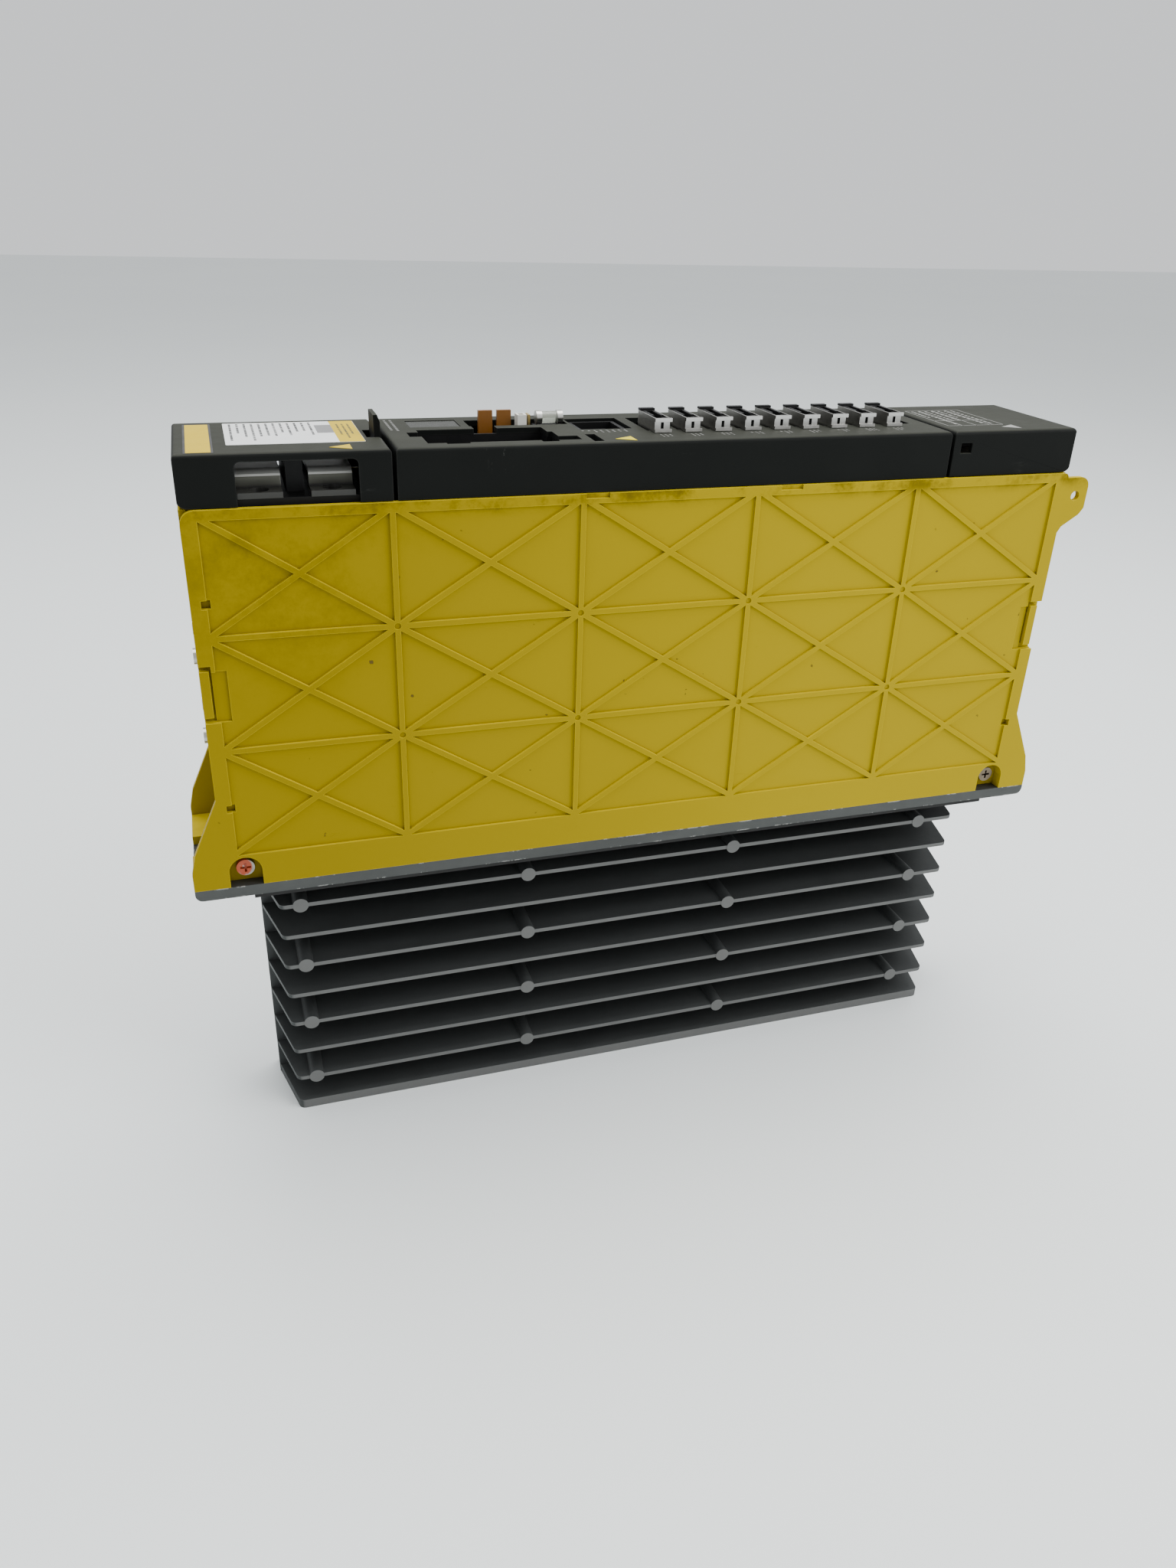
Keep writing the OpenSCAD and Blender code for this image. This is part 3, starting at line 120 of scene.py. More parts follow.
class Shader:
    """A material whose textures all read the object's own coordinates, in metres."""

    def __init__(self, name, **sockets):
        self.material = bpy.data.materials.new(name)
        self.material.use_nodes = True
        self.tree = self.material.node_tree
        self.bsdf = self.tree.nodes["Principled BSDF"]
        self.place = self.new("ShaderNodeTexCoord").outputs["Object"]
        for socket, value in sockets.items():
            self.set(socket.replace("_", " "), value)

    def new(self, kind, **settings):
        node = self.tree.nodes.new(kind)
        for name, value in settings.items():
            setattr(node, name, value)
        return node

    def feed(self, socket, value):
        if isinstance(value, bpy.types.NodeSocket):
            self.tree.links.new(value, socket)
        elif isinstance(value, tuple) and len(value) == 3 and socket.type == "RGBA":
            socket.default_value = (*value, 1.0)
        else:
            socket.default_value = value

    def set(self, socket, value):
        self.feed(self.bsdf.inputs[socket], value)

    def math(self, operation, a, b=0.0):
        node = self.new("ShaderNodeMath", operation=operation)
        self.feed(node.inputs[0], a)
        self.feed(node.inputs[1], b)
        return node.outputs[0]

    def both(self, a, b):
        """1 where both masks are 1."""
        return self.math("MULTIPLY", a, b)

    def stretched(self, scale):
        node = self.new("ShaderNodeMapping")
        self.feed(node.inputs["Vector"], self.place)
        node.inputs["Scale"].default_value = scale
        return node.outputs[0]

    def noise(self, scale, detail=3.0, rough=0.55, stretch=None):
        """Cloudy values from 0 to 1; scale is about how many clouds fit in a metre."""
        node = self.new("ShaderNodeTexNoise")
        self.feed(node.inputs["Vector"], self.stretched(stretch) if stretch else self.place)
        node.inputs["Scale"].default_value = scale
        node.inputs["Detail"].default_value = detail
        node.inputs["Roughness"].default_value = rough
        return node.outputs["Fac"]

    def step(self, value, low, high):
        """0 below low, 1 above high, smooth between; low may be above high."""
        node = self.new("ShaderNodeMapRange", interpolation_type="SMOOTHSTEP")
        self.feed(node.inputs["Value"], value)
        node.inputs["From Min"].default_value = low
        node.inputs["From Max"].default_value = high
        return node.outputs["Result"]

    def mix(self, share, a, b):
        node = self.new("ShaderNodeMix", data_type="RGBA")
        self.feed(node.inputs[0], share)
        self.feed(node.inputs[6], a)
        self.feed(node.inputs[7], b)
        return node.outputs[2]

    def layer(self, under, over, mask, strength):
        """One colour over another where a mask is 1, covering it by a strength."""
        return self.mix(self.math("MULTIPLY", mask, strength), under, over)

    def between(self, share, low, high):
        node = self.new("ShaderNodeMapRange")
        self.feed(node.inputs["Value"], share)
        node.inputs["To Min"].default_value = low
        node.inputs["To Max"].default_value = high
        return node.outputs["Result"]

    def part(self, vector, index):
        node = self.new("ShaderNodeSeparateXYZ")
        self.feed(node.inputs[0], vector)
        return node.outputs[index]

    def axis(self, index):
        """The place along one of the object's own axes."""
        return self.part(self.place, index)

    def facing(self, index):
        """The surface normal's part along one of the object's own axes."""
        return self.part(self.new("ShaderNodeTexCoord").outputs["Normal"], index)

    def near(self, point, reach):
        """1 at a point, 0 beyond reach of it."""
        node = self.new("ShaderNodeVectorMath", operation="DISTANCE")
        self.feed(node.inputs[0], self.place)
        node.inputs[1].default_value = point
        return self.step(node.outputs["Value"], reach, 0.0)

    def edges(self, radius, low=0.02, high=0.25):
        """1 on sharp edges, 0 on flats, from how far a rounded normal leans."""
        rounded = self.new("ShaderNodeBevel", samples=4)
        rounded.inputs["Radius"].default_value = radius
        dot = self.new("ShaderNodeVectorMath", operation="DOT_PRODUCT")
        self.feed(dot.inputs[0], rounded.outputs[0])
        self.feed(dot.inputs[1], self.new("ShaderNodeNewGeometry").outputs["True Normal"])
        return self.step(self.math("SUBTRACT", 1.0, dot.outputs["Value"]), low, high)

    def crevices(self, reach):
        """1 deep in corners and slots, 0 in the open."""
        node = self.new("ShaderNodeAmbientOcclusion", samples=6)
        node.inputs["Distance"].default_value = reach
        return self.math("SUBTRACT", 1.0, node.outputs["AO"])

    def bump(self, height, depth, strength=1.0):
        node = self.new("ShaderNodeBump")
        self.feed(node.inputs["Height"], height)
        node.inputs["Distance"].default_value = depth
        node.inputs["Strength"].default_value = strength
        self.set("Normal", node.outputs[0])


# ---- Materials ----

def yellow_plastic():
    """Moulded shells: painted shade towards the left, in crevices and on faces turned down; painted
    highlight on edges and faces turned up; dirty on the top ledge and at the near left corner.
    """
    clean, clean_light, shaded = (0.325, 0.235, 0.0), (0.375, 0.275, 0.0), (0.20, 0.142, 0.0)
    ledge_dirt, corner_dirt, crevice_shade = (0.07, 0.047, 0.0), (0.085, 0.06, 0.0), (0.07, 0.042, 0.0)
    underside_shade, speck, scuff = (0.08, 0.05, 0.0), (0.06, 0.04, 0.015), (0.19, 0.13, 0.0)
    edge_light = (0.60, 0.46, 0.005)
    shade_start, shade_end = SHELL_HIGH.x - 90 * MM, SHELL_LOW.x + 20 * MM
    ledge_start, ledge_end = SHELL_HIGH.z - 8 * MM, SHELL_HIGH.z - 1 * MM
    corner, corner_reach = (SHELL_LOW.x + 40 * MM, SHELL_LOW.y, SHELL_HIGH.z - 14 * MM), 75 * MM
    deep_reach, edge_r, grain = 2.0 * MM, 0.45 * MM, 0.02 * MM

    s = Shader("yellow_plastic", Specular_IOR_Level=0.06)
    colour = s.mix(s.noise(9.0, 4.0, 0.6), clean, clean_light)
    # Painted shade: darker towards the left end.
    colour = s.layer(colour, shaded, s.step(s.axis(0), shade_start, shade_end), 0.7)
    ledge = s.both(s.step(s.axis(2), ledge_start, ledge_end), s.step(s.noise(38.0, 6.0, 0.75), 0.44, 0.66))
    colour = s.layer(colour, ledge_dirt, ledge, 0.75)
    grime_and_shade = s.both(s.near(corner, corner_reach), s.step(s.noise(30.0, 7.0, 0.75), 0.40, 0.70))
    colour = s.layer(colour, corner_dirt, grime_and_shade, 0.6)
    # Painted shade: darker deep in crevices and corners.
    colour = s.layer(colour, crevice_shade, s.step(s.crevices(deep_reach), 0.25, 0.85), 0.7)
    # Painted shade: darker on faces turned down.
    colour = s.layer(colour, underside_shade, s.step(s.facing(2), -0.3, -0.8), 0.55)
    specks = s.both(s.step(s.noise(300.0, 2.0, 0.4), 0.755, 0.775), s.step(s.noise(17.0, 2.0), 0.5, 0.56))
    colour = s.layer(colour, speck, specks, 0.8)
    scuffs = s.both(s.step(s.noise(110.0, 6.0, 0.85, (0.3, 1.0, 1.6)), 0.62, 0.7),
                    s.step(s.noise(14.0, 2.0), 0.5, 0.62))
    colour = s.layer(colour, scuff, scuffs, 0.35)
    # Painted highlight: lighter on edges and on faces turned up.
    lit = s.math("MAXIMUM", s.edges(edge_r), s.step(s.facing(2), 0.3, 0.8))
    colour = s.mix(s.both(lit, s.between(s.noise(90.0), 0.35, 0.95)), colour, edge_light)
    s.set("Base Color", colour)
    s.set("Roughness", s.between(s.noise(70.0, 4.0), 0.38, 0.55))
    s.bump(s.noise(2600.0, 2.0), grain, 0.5)
    return s.material


def cover_plastic():
    """Black textured covers: dusted and painted lighter on top, lighter on the edges from wear and painted
    highlight, scratched by the battery bay.
    """
    clean, clean_light, top_dust_and_light = (0.0035, 0.0042, 0.0036), (0.0060, 0.0068, 0.0060), (0.054, 0.056, 0.043)
    wear_and_edge_highlight, scratch, smear = (0.085, 0.085, 0.078), (0.14, 0.14, 0.13), (0.045, 0.046, 0.042)
    scratched, scratch_reach = (MAIN_LOW.x + 37.9 * MM, MAIN_LOW.y, MAIN_HIGH.z - 3 * MM), 10 * MM
    edge_r, grain = 0.7 * MM, 0.035 * MM

    s = Shader("cover_plastic", Specular_IOR_Level=0.08)
    colour = s.mix(s.noise(30.0, 4.0), clean, clean_light)
    # Faces turned up: real dusting and painted top light, much lighter than the sides.
    top_dust_and_light_mask = s.both(s.step(s.facing(2), 0.6, 0.95), s.between(s.noise(25.0, 5.0), 0.5, 1.0))
    colour = s.layer(colour, top_dust_and_light, top_dust_and_light_mask, 0.65)
    # Edges: wear and painted highlight, lighter than the faces.
    wear_and_highlight_mask = s.both(s.edges(edge_r), s.between(s.noise(120.0), 0.1, 0.9))
    colour = s.layer(colour, wear_and_edge_highlight, wear_and_highlight_mask, 0.4)
    scratches = s.both(s.near(scratched, scratch_reach),
                       s.step(s.noise(700.0, 6.0, 0.8, (1.0, 1.0, 0.3)), 0.60, 0.68))
    colour = s.layer(colour, scratch, scratches, 0.35)
    smears = s.both(s.step(s.noise(70.0, 6.0, 0.8, (0.4, 1.0, 1.5)), 0.60, 0.70),
                    s.step(s.noise(18.0, 2.0), 0.48, 0.6))
    colour = s.layer(colour, smear, smears, 0.3)
    s.set("Base Color", colour)
    s.set("Roughness", s.between(s.noise(140.0, 4.0), 0.5, 0.66))
    s.bump(s.noise(1900.0, 3.0), grain, 0.6)
    return s.material


def plain_plastic(name, dark, light, rough=(0.35, 0.55), grain_scale=2200.0, **sockets):
    grain = 0.02 * MM
    s = Shader(name, **sockets)
    s.set("Base Color", s.mix(s.noise(180.0, 4.0), dark, light))
    s.set("Roughness", s.between(s.noise(260.0), *rough))
    s.bump(s.noise(grain_scale, 2.0), grain, 0.5)
    return s.material


def cast_metal():
    """Die-cast sink: dark and streaky, lighter on its edges from wear and painted highlight, and painted
    highlight on the fins' near ends.
    """
    dark, light, streak = (0.036, 0.039, 0.039), (0.062, 0.066, 0.065), (0.026, 0.028, 0.027)
    wear_and_edge_highlight, tip = (0.17, 0.175, 0.17), (0.17, 0.17, 0.165)
    tip_start, tip_end = SINK_Y + 4.0 * MM, SINK_Y + 3.4 * MM
    edge_r, grain = 0.6 * MM, 0.05 * MM

    s = Shader("cast_sink", Metallic=0.35, Specular_IOR_Level=0.3)
    colour = s.mix(s.noise(26.0, 6.0, 0.65), dark, light)
    streaks = s.step(s.noise(34.0, 4.0, 0.6, (0.35, 1.0, 1.0)), 0.5, 0.72)
    colour = s.layer(colour, streak, streaks, 0.35)
    # Edges: wear and painted highlight, lighter than the faces.
    wear_and_highlight_mask = s.both(s.edges(edge_r), s.between(s.noise(150.0), 0.3, 1.0))
    colour = s.layer(colour, wear_and_edge_highlight, wear_and_highlight_mask, 0.6)
    # Painted highlight: the near ends of the fins are lighter.
    tip_highlight_mask = s.both(s.step(s.facing(1), -0.7, -0.98), s.step(s.axis(1), tip_start, tip_end))
    colour = s.layer(colour, tip, tip_highlight_mask, 0.6)
    s.set("Base Color", colour)
    s.set("Roughness", s.between(s.noise(120.0, 4.0), 0.45, 0.68))
    s.bump(s.math("ADD", s.noise(900.0, 4.0), s.math("MULTIPLY", s.noise(120.0, 3.0), 2.0)), grain, 0.7)
    return s.material


def flange_metal():
    """Dark scuffed flange with bright nicks along its edges."""
    dark, light, nick = (0.044, 0.047, 0.046), (0.090, 0.094, 0.090), (0.42, 0.42, 0.40)
    edge_r, grain = 0.9 * MM, 0.03 * MM

    s = Shader("flange_metal", Metallic=0.75)
    colour = s.mix(s.noise(40.0, 5.0, 0.7, (0.3, 1.0, 1.0)), dark, light)
    nicks = s.both(s.edges(edge_r, 0.02, 0.1), s.step(s.noise(85.0, 5.0, 0.8), 0.53, 0.58))
    s.set("Base Color", s.mix(nicks, colour, nick))
    s.set("Roughness", s.between(s.noise(220.0, 4.0), 0.42, 0.62))
    s.bump(s.noise(600.0, 4.0, 0.6, (0.2, 1.0, 1.0)), grain, 0.6)
    return s.material


def bright_metal(name, dark, light):
    """Plated metal, brushed along Z, with painted shade in its corners."""
    corner_shade, brushed = (0.08, 0.075, 0.07), (1.0, 1.0, 0.2)
    deep_reach, grain = 1.5 * MM, 0.015 * MM

    s = Shader(name, Metallic=1.0)
    colour = s.mix(s.noise(420.0, 4.0, 0.6, brushed), dark, light)
    # Painted shade: darker in corners and slots.
    s.set("Base Color", s.layer(colour, corner_shade, s.step(s.crevices(deep_reach), 0.3, 0.9), 0.5))
    s.set("Roughness", s.between(s.noise(380.0, 3.0), 0.22, 0.42))
    s.bump(s.noise(1500.0, 2.0, 0.5, brushed), grain, 0.5)
    return s.material


def shell_metal():
    """Nickel-plated connector shells: painted highlight on the near ends and sharp edges, painted shade in
    the crevices, duller flanks.
    """
    dark, light = (0.20, 0.195, 0.18), (0.34, 0.33, 0.31)
    rim_highlight, corner_shade = (0.78, 0.77, 0.74), (0.03, 0.028, 0.025)
    edge_r, deep_reach, grain = 0.35 * MM, 1.2 * MM, 0.015 * MM

    s = Shader("connector_metal", Metallic=1.0)
    colour = s.mix(s.noise(420.0, 4.0, 0.6), dark, light)
    # Painted highlight: lighter on the near ends and sharp edges.
    ends = s.step(s.math("ABSOLUTE", s.facing(1)), 0.5, 0.9)
    colour = s.layer(colour, rim_highlight, s.math("MAXIMUM", ends, s.edges(edge_r)), 0.85)
    # Painted shade: darker in crevices.
    colour = s.layer(colour, corner_shade, s.step(s.crevices(deep_reach), 0.3, 0.9), 0.7)
    s.set("Base Color", colour)
    s.set("Roughness", s.between(s.noise(380.0, 3.0), 0.22, 0.42))
    s.bump(s.noise(1500.0, 2.0), grain, 0.5)
    return s.material


def marked_screw():
    """Zinc steel with a dab of orange-red paint on the near left screw's head."""
    dark, light, orange = (0.16, 0.155, 0.14), (0.36, 0.35, 0.32), (0.40, 0.05, 0.003)
    low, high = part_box("shell_screws_left")
    dab_place, dab_reach = (low.x + 2.0 * MM, low.y, (low.z + high.z) / 2 + 0.4 * MM), 5.6 * MM
    grain = 0.03 * MM

    s = Shader("marked_screw")
    dab = s.step(s.near(dab_place, dab_reach), 0.12, 0.3)
    paint = s.both(dab, s.step(s.noise(300.0, 4.0, 0.7), 0.36, 0.46))
    s.set("Base Color", s.mix(paint, s.mix(s.noise(500.0, 3.0), dark, light), orange))
    s.set("Metallic", s.between(paint, 1.0, 0.0))
    s.set("Roughness", s.between(paint, 0.3, 0.45))
    s.bump(s.noise(900.0, 3.0), grain, 0.4)
    return s.material


def smoked_window():
    dark, light = (0.018, 0.019, 0.015), (0.028, 0.029, 0.024)
    s = Shader("smoked_window", Specular_IOR_Level=0.06)
    s.set("Base Color", s.mix(s.noise(60.0, 3.0), dark, light))
    s.set("Roughness", s.between(s.noise(300.0, 3.0), 0.2, 0.34))
    return s.material


def bar_metal():
    """Tinned link bars: painted highlight on the bent-over tops and edges, painted shade on the dull olive
    flanks and on the tabs.
    """
    dark, light, flank_shade = (0.34, 0.34, 0.31), (0.50, 0.50, 0.46), (0.060, 0.060, 0.044)
    bend_highlight, rim_highlight, grime_and_shade = (0.66, 0.66, 0.62), (0.42, 0.42, 0.39), (0.014, 0.014, 0.012)
    low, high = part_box("link_bar_left")
    bend_start, bend_end = high.z - 3.4 * MM, high.z - 2.4 * MM
    tab_start, tab_end = low.z + 3.2 * MM, low.z + 2.1 * MM
    edge_r, grain = 0.4 * MM, 0.015 * MM

    s = Shader("bar_metal")
    colour = s.mix(s.noise(420.0, 4.0, 0.6, (1.0, 1.0, 0.2)), dark, light)
    # Painted shade: the flanks, facing front and back, are dark olive.
    flanks = s.step(s.math("ABSOLUTE", s.facing(1)), 0.93, 0.99)
    colour = s.layer(colour, flank_shade, flanks, 0.9)
    # Painted highlight on the bent-over tops.
    bend_highlight_mask = s.both(s.step(s.axis(2), bend_start, bend_end), s.math("SUBTRACT", 1.0, flanks))
    colour = s.mix(bend_highlight_mask, colour, bend_highlight)
    # Painted highlight along the edges.
    rim_highlights = s.both(s.edges(edge_r), s.step(s.noise(260.0, 3.0), 0.45, 0.6))
    colour = s.layer(colour, rim_highlight, rim_highlights, 0.6)
    # Painted shade: the tabs deep in the window are near black.
    tabs = s.step(s.axis(2), tab_start, tab_end)
    colour = s.layer(colour, grime_and_shade, tabs, 0.94)
    s.set("Base Color", colour)
    s.set("Metallic", s.between(tabs, 0.7, 0.0))
    s.set("Roughness", s.between(s.noise(380.0, 3.0), 0.3, 0.46))
    s.bump(s.noise(1500.0, 2.0), grain, 0.5)
    return s.material


def amber():
    """Translucent amber plugs, paler towards their tops."""
    dark, light, top = (0.155, 0.050, 0.0), (0.22, 0.080, 0.002), (0.30, 0.12, 0.012)
    low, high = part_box("amber_plug_left")
    grain = 0.015 * MM

    s = Shader("amber_plastic", Transmission_Weight=0.25, IOR=1.55)
    colour = s.mix(s.noise(300.0, 4.0, 0.6, (1.0, 1.0, 0.3)), dark, light)
    s.set("Base Color", s.layer(colour, top, s.step(s.axis(2), low.z, high.z), 0.3))
    s.set("Roughness", s.between(s.noise(500.0), 0.3, 0.45))
    s.bump(s.noise(1600.0, 2.0), grain, 0.4)
    return s.material


def clear_plastic():
    dark, light = (0.62, 0.66, 0.55), (0.75, 0.78, 0.68)
    s = Shader("clear_plastic", Transmission_Weight=0.7, IOR=1.46)
    s.set("Base Color", s.mix(s.noise(300.0), dark, light))
    s.set("Roughness", s.between(s.noise(500.0), 0.06, 0.18))
    return s.material


def circuit_board():
    """Green solder mask with raised tracks."""
    dark, light, track = (0.010, 0.060, 0.022), (0.016, 0.085, 0.032), (0.03, 0.13, 0.05)
    track_h = 0.03 * MM

    s = Shader("board_green", Specular_IOR_Level=0.5)
    tracks = s.new("ShaderNodeTexBrick", offset=0.5)
    s.feed(tracks.inputs["Vector"], s.place)
    tracks.inputs["Scale"].default_value = 160.0
    tracks.inputs["Mortar Size"].default_value = 0.04
    s.set("Base Color", s.mix(tracks.outputs["Fac"], s.mix(s.noise(60.0, 4.0), dark, light), track))
    s.set("Roughness", s.between(s.noise(200.0), 0.3, 0.45))
    s.bump(tracks.outputs["Fac"], track_h, 0.4)
    return s.material


def printed(name, dark, light):
    """A label's paper or ink, a little uneven."""
    grain = 0.01 * MM
    s = Shader(name, Specular_IOR_Level=0.12)
    s.set("Base Color", s.mix(s.noise(150.0, 5.0, 0.7), dark, light))
    s.set("Roughness", s.between(s.noise(90.0, 3.0), 0.3, 0.5))
    s.bump(s.noise(1200.0, 2.0), grain, 0.3)
    return s.material


def make_materials():
    """One finish for each material slot of the record."""
    return {
        "cast_sink": cast_metal(),
        "gasket_rubber": plain_plastic("gasket_rubber", (0.006, 0.006, 0.006), (0.014, 0.014, 0.013),
                                       rough=(0.7, 0.9), grain_scale=900.0),
        "flange_metal": flange_metal(),
        "yellow_plastic": yellow_plastic(),
        "cover_plastic": cover_plastic(),
        "black_plastic": plain_plastic("black_plastic", (0.004, 0.004, 0.004), (0.009, 0.009, 0.009),
                                       Specular_IOR_Level=0.15),
        "zinc_steel": bright_metal("zinc_steel", (0.45, 0.45, 0.43), (0.64, 0.64, 0.60)),
        "bronze_steel": bright_metal("bronze_steel", (0.085, 0.065, 0.045), (0.20, 0.165, 0.12)),
        "smoked_window": smoked_window(),
        "amber_plastic": amber(),
        "white_plastic": plain_plastic("white_plastic", (0.60, 0.59, 0.53), (0.72, 0.71, 0.66)),
        "gold_contact": bright_metal("gold_contact", (0.55, 0.38, 0.12), (0.80, 0.60, 0.24)),
        "clear_plastic": clear_plastic(),
        "tinned_metal": bright_metal("tinned_metal", (0.42, 0.42, 0.39), (0.62, 0.61, 0.57)),
        "connector_metal": shell_metal(),
        "board_green": circuit_board(),
        "capacitor_sleeve": plain_plastic("capacitor_sleeve", (0.010, 0.016, 0.06),
                                          (0.018, 0.026, 0.09)),
        "copper": bright_metal("copper", (0.45, 0.20, 0.10), (0.66, 0.33, 0.18)),
    }


def paint_node(name, finish):
    slots = NODES[name].data.materials
    slots.clear()
    slots.append(finish)


def paint_nodes():
    """Gives each CAD node the finish of its slot; two kinds of metal piece get their own."""
    finishes = make_materials()
    for row in frame["record"]["subparts"]:
        paint_node(row["node"], finishes[row["material_slot"]])
    paint_node("shell_screws_left", marked_screw())
    bars = bar_metal()
    for name in ("link_bar_left", "link_bar_right"):
        paint_node(name, bars)


# ---- Geometry helpers ----

def soften_edges(name):
    """Small rounded edges that catch the light."""
    modifiers = NODES[name].modifiers
    weld = modifiers.new("weld", "WELD")
    weld.merge_threshold = WELD_DISTANCE
    flat = modifiers.new("flat", "DECIMATE")
    flat.decimate_type = "DISSOLVE"
    flat.angle_limit = FLAT_ANGLE
    bevel = modifiers.new("bevel", "BEVEL")
    bevel.width = EDGE_R
    bevel.segments = EDGE_SEGMENTS
    bevel.limit_method = "ANGLE"
    bevel.angle_limit = EDGE_ANGLE
    bevel.use_clamp_overlap = True
    bevel.harden_normals = False


def mesh_piece(name, shape, material, body):
    vertices, faces = shape
    mesh = bpy.data.meshes.new(name)
    mesh.from_pydata([tuple(v) for v in vertices], [], faces)
    mesh.materials.append(material)
    mesh.update()
    piece = bpy.data.objects.new(name, mesh)
    bpy.context.scene.collection.objects.link(piece)
    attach(piece, body)


def slab(outline, low, high):
    """Vertices and faces of a flat plate with this outline in X and Y."""
    count = len(outline)
    vertices = [(x, y, low) for x, y in outline] + [(x, y, high) for x, y in outline]
    faces = [tuple(range(count))[::-1], tuple(range(count, 2 * count))]
    faces += [(i, (i + 1) % count, (i + 1) % count + count, i + count) for i in range(count)]
    return vertices, faces


def slabs(outlines, low, high):
    """Many flat plates as one shape."""
    vertices, faces = [], []
    for outline in outlines:
        more, sides = slab(outline, low, high)
        faces += [tuple(i + len(vertices) for i in face) for face in sides]
        vertices += more
    return vertices, faces


def area(start, box):
    """A rectangle in metres from one in mm whose X counts from start."""
    x0, x1, y0, y1 = box
    return start + x0 * MM, start + x1 * MM, y0 * MM, y1 * MM


def inset(box, x0, x1, y0, y1):
    """A rectangle with each side moved in by its own distance in mm."""
    return box[0] + x0 * MM, box[1] - x1 * MM, box[2] + y0 * MM, box[3] - y1 * MM


def rectangle(x0, x1, y0, y1):
    return [(x0, y0), (x1, y0), (x1, y1), (x0, y1)]


def round_rectangle(x0, x1, y0, y1, r):
    points = []
    for cx, cy, start in ((x1 - r, y1 - r, 0), (x0 + r, y1 - r, 90),
                          (x0 + r, y0 + r, 180), (x1 - r, y0 + r, 270)):
        for i in range(CORNER_STEPS + 1):
            turn = math.radians(start + 90 * i / CORNER_STEPS)
            points.append((cx + r * math.cos(turn), cy + r * math.sin(turn)))
    return points


def triangle(start, corners):
    """A triangle that points to low X."""
    tip_x, tip_y, base_x, base_y0, base_y1 = corners
    return [(start + tip_x * MM, tip_y * MM), (start + base_x * MM, base_y0 * MM),
            (start + base_x * MM, base_y1 * MM)]


def greeked_lines(box, pitch, height, seed):
    """Rows of short dashes that stand in for small print; each row runs along Y. Sizes are in mm."""
    x0, x1, y0, y1 = box
    pitch *= MM
    height *= MM
    chance = random.Random(seed)
    marks = []
    row = x0
    while row + height <= x1:
        y = y1
        end = y0 + (y1 - y0) * chance.choice((0.0, 0.15, 0.35, 0.55))
        while y > end:
            length = chance.uniform(0.8, 2.6) * height
            marks.append(rectangle(row, row + height, max(y - length, y0), y))
            y -= length + chance.uniform(0.5, 1.3) * height
        row += pitch
    return marks


# ---- Labels and print ----

def left_cover_labels():
    """Rating plate with a yellow strip and a grey block, a blank yellow label and a triangle."""
    paper = printed("label_paper", (0.62, 0.63, 0.62), (0.74, 0.75, 0.74))
    yellow = printed("label_yellow", (0.50, 0.355, 0.0), (0.57, 0.41, 0.0))
    grey = printed("label_grey", (0.17, 0.17, 0.17), (0.24, 0.24, 0.24))
    ink = printed("label_ink", (0.02, 0.02, 0.022), (0.06, 0.06, 0.06))

    plate = area(LEFT_COVER_X, NAMEPLATE)
    mesh_piece("nameplate", slab(round_rectangle(*plate, NAMEPLATE_ROUND * MM), LABEL_BASE, LABEL_TOP),
               paper, "left_cover")
    strip_start = plate[1] - STRIP_W * MM
    strip = (strip_start, *inset(plate, 0, STRIP_INSET, STRIP_INSET, STRIP_INSET)[1:])
    mesh_piece("nameplate_strip", slab(rectangle(*strip), LABEL_TOP, LABEL_TOP + INK_T),
               yellow, "left_cover")
    block = (strip[0] - BLOCK_W * MM, strip[0], BLOCK_Y[0] * MM, BLOCK_Y[1] * MM)
    mesh_piece("nameplate_block", slab(rectangle(*block), LABEL_TOP, LABEL_TOP + INK_T),
               grey, "left_cover")
    text = inset((plate[0], block[0], *plate[2:]), *NAMEPLATE_MARGIN)
    marks = greeked_lines(text, pitch=2.6, height=0.8, seed=3)
    marks += greeked_lines(inset(strip, *STRIP_MARGIN), pitch=2.0, height=0.7, seed=5)
    mesh_piece("nameplate_print", slabs(marks, LABEL_TOP + INK_T, LABEL_TOP + 2 * INK_T),
               ink, "left_cover")

    blank = area(LEFT_COVER_X, BLANK_LABEL)
    half = LABEL_BASE + LABEL_T / 2
    mesh_piece("blank_label_border", slab(round_rectangle(*blank, BLANK_ROUND * MM), LABEL_BASE, half),
               ink, "left_cover")
    inner = inset(blank, *BLANK_BORDER)
    mesh_piece("blank_label", slab(round_rectangle(*inner, BLANK_INNER_ROUND * MM), half, LABEL_TOP),
               yellow, "left_cover")
    mesh_piece("left_triangle", slab(triangle(LEFT_COVER_X, LEFT_TRIANGLE), LABEL_BASE, LABEL_TOP),
               yellow, "left_cover")


def main_cover_print():
    """Small print beside the window, the connectors and the square socket, and a triangle."""
    yellow = printed("triangle_yellow", (0.54, 0.45, 0.005), (0.62, 0.51, 0.01))
    white = printed("print_white", (0.10, 0.10, 0.095), (0.17, 0.17, 0.16))
    mesh_piece("main_triangle", slab(triangle(MAIN_LOW.x, MAIN_TRIANGLE), LABEL_BASE, LABEL_TOP),
               yellow, "chassis")
    marks = greeked_lines(area(MAIN_LOW.x, MAIN_LEFT_PRINT), pitch=2.2, height=0.9, seed=11)
    for i in range(1, CONNECTORS + 1):
        shell_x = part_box(f"connector_shell_{i}")[0].x
        marks += greeked_lines(area(shell_x, CONNECTOR_PRINT), pitch=1.8, height=0.7, seed=20 + i)
    marks += greeked_lines(area(MAIN_LOW.x, MAIN_SOCKET_PRINT), pitch=2.4, height=0.8, seed=41)
    mesh_piece("main_cover_print", slabs(marks, LABEL_BASE, LABEL_BASE + INK_T), white, "chassis")


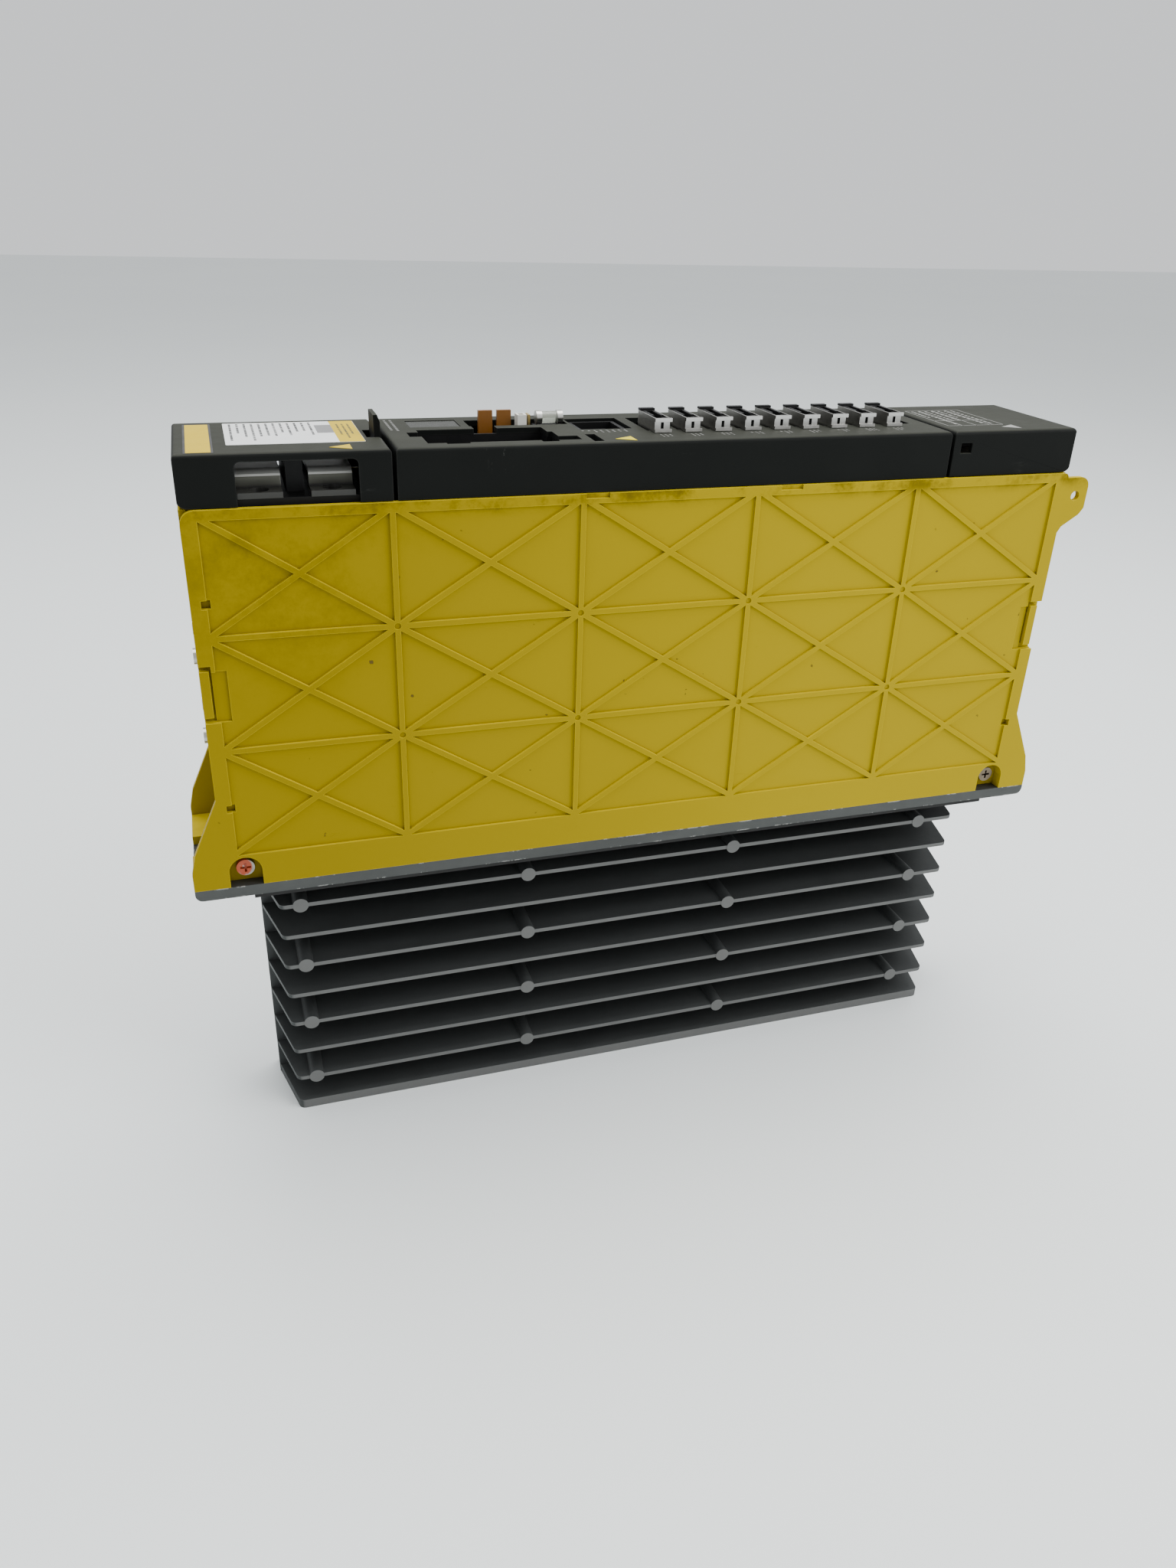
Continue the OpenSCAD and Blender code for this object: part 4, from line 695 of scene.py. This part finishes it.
def right_cover_print():
    """A printed table and a triangle."""
    white = printed("print_pale", (0.20, 0.20, 0.19), (0.30, 0.30, 0.28))
    line = RIGHT_TABLE_LINE * MM
    table = area(RIGHT_COVER_X, RIGHT_TABLE)
    x0, x1, y0, y1 = table
    column = (x1 - x0) / RIGHT_TABLE_COLUMNS
    columns = [x0 + i * column for i in range(RIGHT_TABLE_COLUMNS + 1)]
    marks = [rectangle(x, x + line, y0, y1) for x in columns]
    marks += [rectangle(x0, x1 + line, y, y + line) for y in (y0, y0 + RIGHT_TABLE_HEAD * MM, y1)]
    marks += greeked_lines(inset(table, *RIGHT_TABLE_MARGIN), pitch=3.25, height=1.0, seed=61)
    mesh_piece("right_cover_print", slabs(marks, LABEL_BASE, LABEL_BASE + INK_T), white, "right_cover")
    mesh_piece("right_triangle",
               slab(triangle(RIGHT_COVER_X, RIGHT_TRIANGLE), LABEL_BASE, LABEL_BASE + INK_T),
               white, "right_cover")


# ---- Camera, floor, light ----

def make_camera():
    camera = bpy.data.objects.new("camera", bpy.data.cameras.new("camera"))
    bpy.context.scene.collection.objects.link(camera)
    right = Vector(CAMERA_RIGHT).normalized()
    back = Vector(CAMERA_BACK)
    back = (back - right * back.dot(right)).normalized()
    up = back.cross(right)
    turn = Matrix((right, up, back)).transposed().to_4x4()
    camera.matrix_world = Matrix.Translation(CAMERA_PLACE) @ turn
    camera.data.lens = LENS
    camera.data.sensor_width = SENSOR
    camera.data.clip_start = CLIP_START
    bpy.context.scene.camera = camera


def make_floor():
    s = Shader("floor")
    s.set("Base Color", s.mix(s.noise(1.5, 3.0), (0.75, 0.785, 0.785), (0.79, 0.825, 0.82)))
    s.set("Roughness", s.between(s.noise(4.0), 0.55, 0.7))
    mesh = bpy.data.meshes.new("floor")
    corners = rectangle(-FLOOR_HALF, FLOOR_HALF, -FLOOR_HALF, FLOOR_HALF)
    mesh.from_pydata([(x, y, 0) for x, y in corners], [], [(0, 1, 2, 3)])
    mesh.materials.append(s.material)
    floor = bpy.data.objects.new("floor", mesh)
    bpy.context.scene.collection.objects.link(floor)


def area_light(name, place, size, power):
    data = bpy.data.lights.new(name, "AREA")
    data.size = size
    data.energy = power
    light = bpy.data.objects.new(name, data)
    bpy.context.scene.collection.objects.link(light)
    light.location = place
    light.rotation_mode = "QUATERNION"
    light.rotation_quaternion = (Vector(LIGHT_TARGET) - Vector(place)).to_track_quat("-Z", "Y")


def make_light():
    world = bpy.data.worlds.new("studio")
    bpy.context.scene.world = world
    world.use_nodes = True
    background = world.node_tree.nodes["Background"]
    background.inputs["Color"].default_value = SKY
    background.inputs["Strength"].default_value = SKY_STRENGTH
    area_light("key", **KEY_LIGHT)
    area_light("side", **SIDE_LIGHT)


make_camera()
paint_nodes()
for soft in ("near_side_shell", "far_side_shell", "main_front_cover", "left_terminal_cover",
             "right_terminal_cover", "mounting_flange"):
    soften_edges(soft)
left_cover_labels()
main_cover_print()
right_cover_print()
make_floor()
make_light()
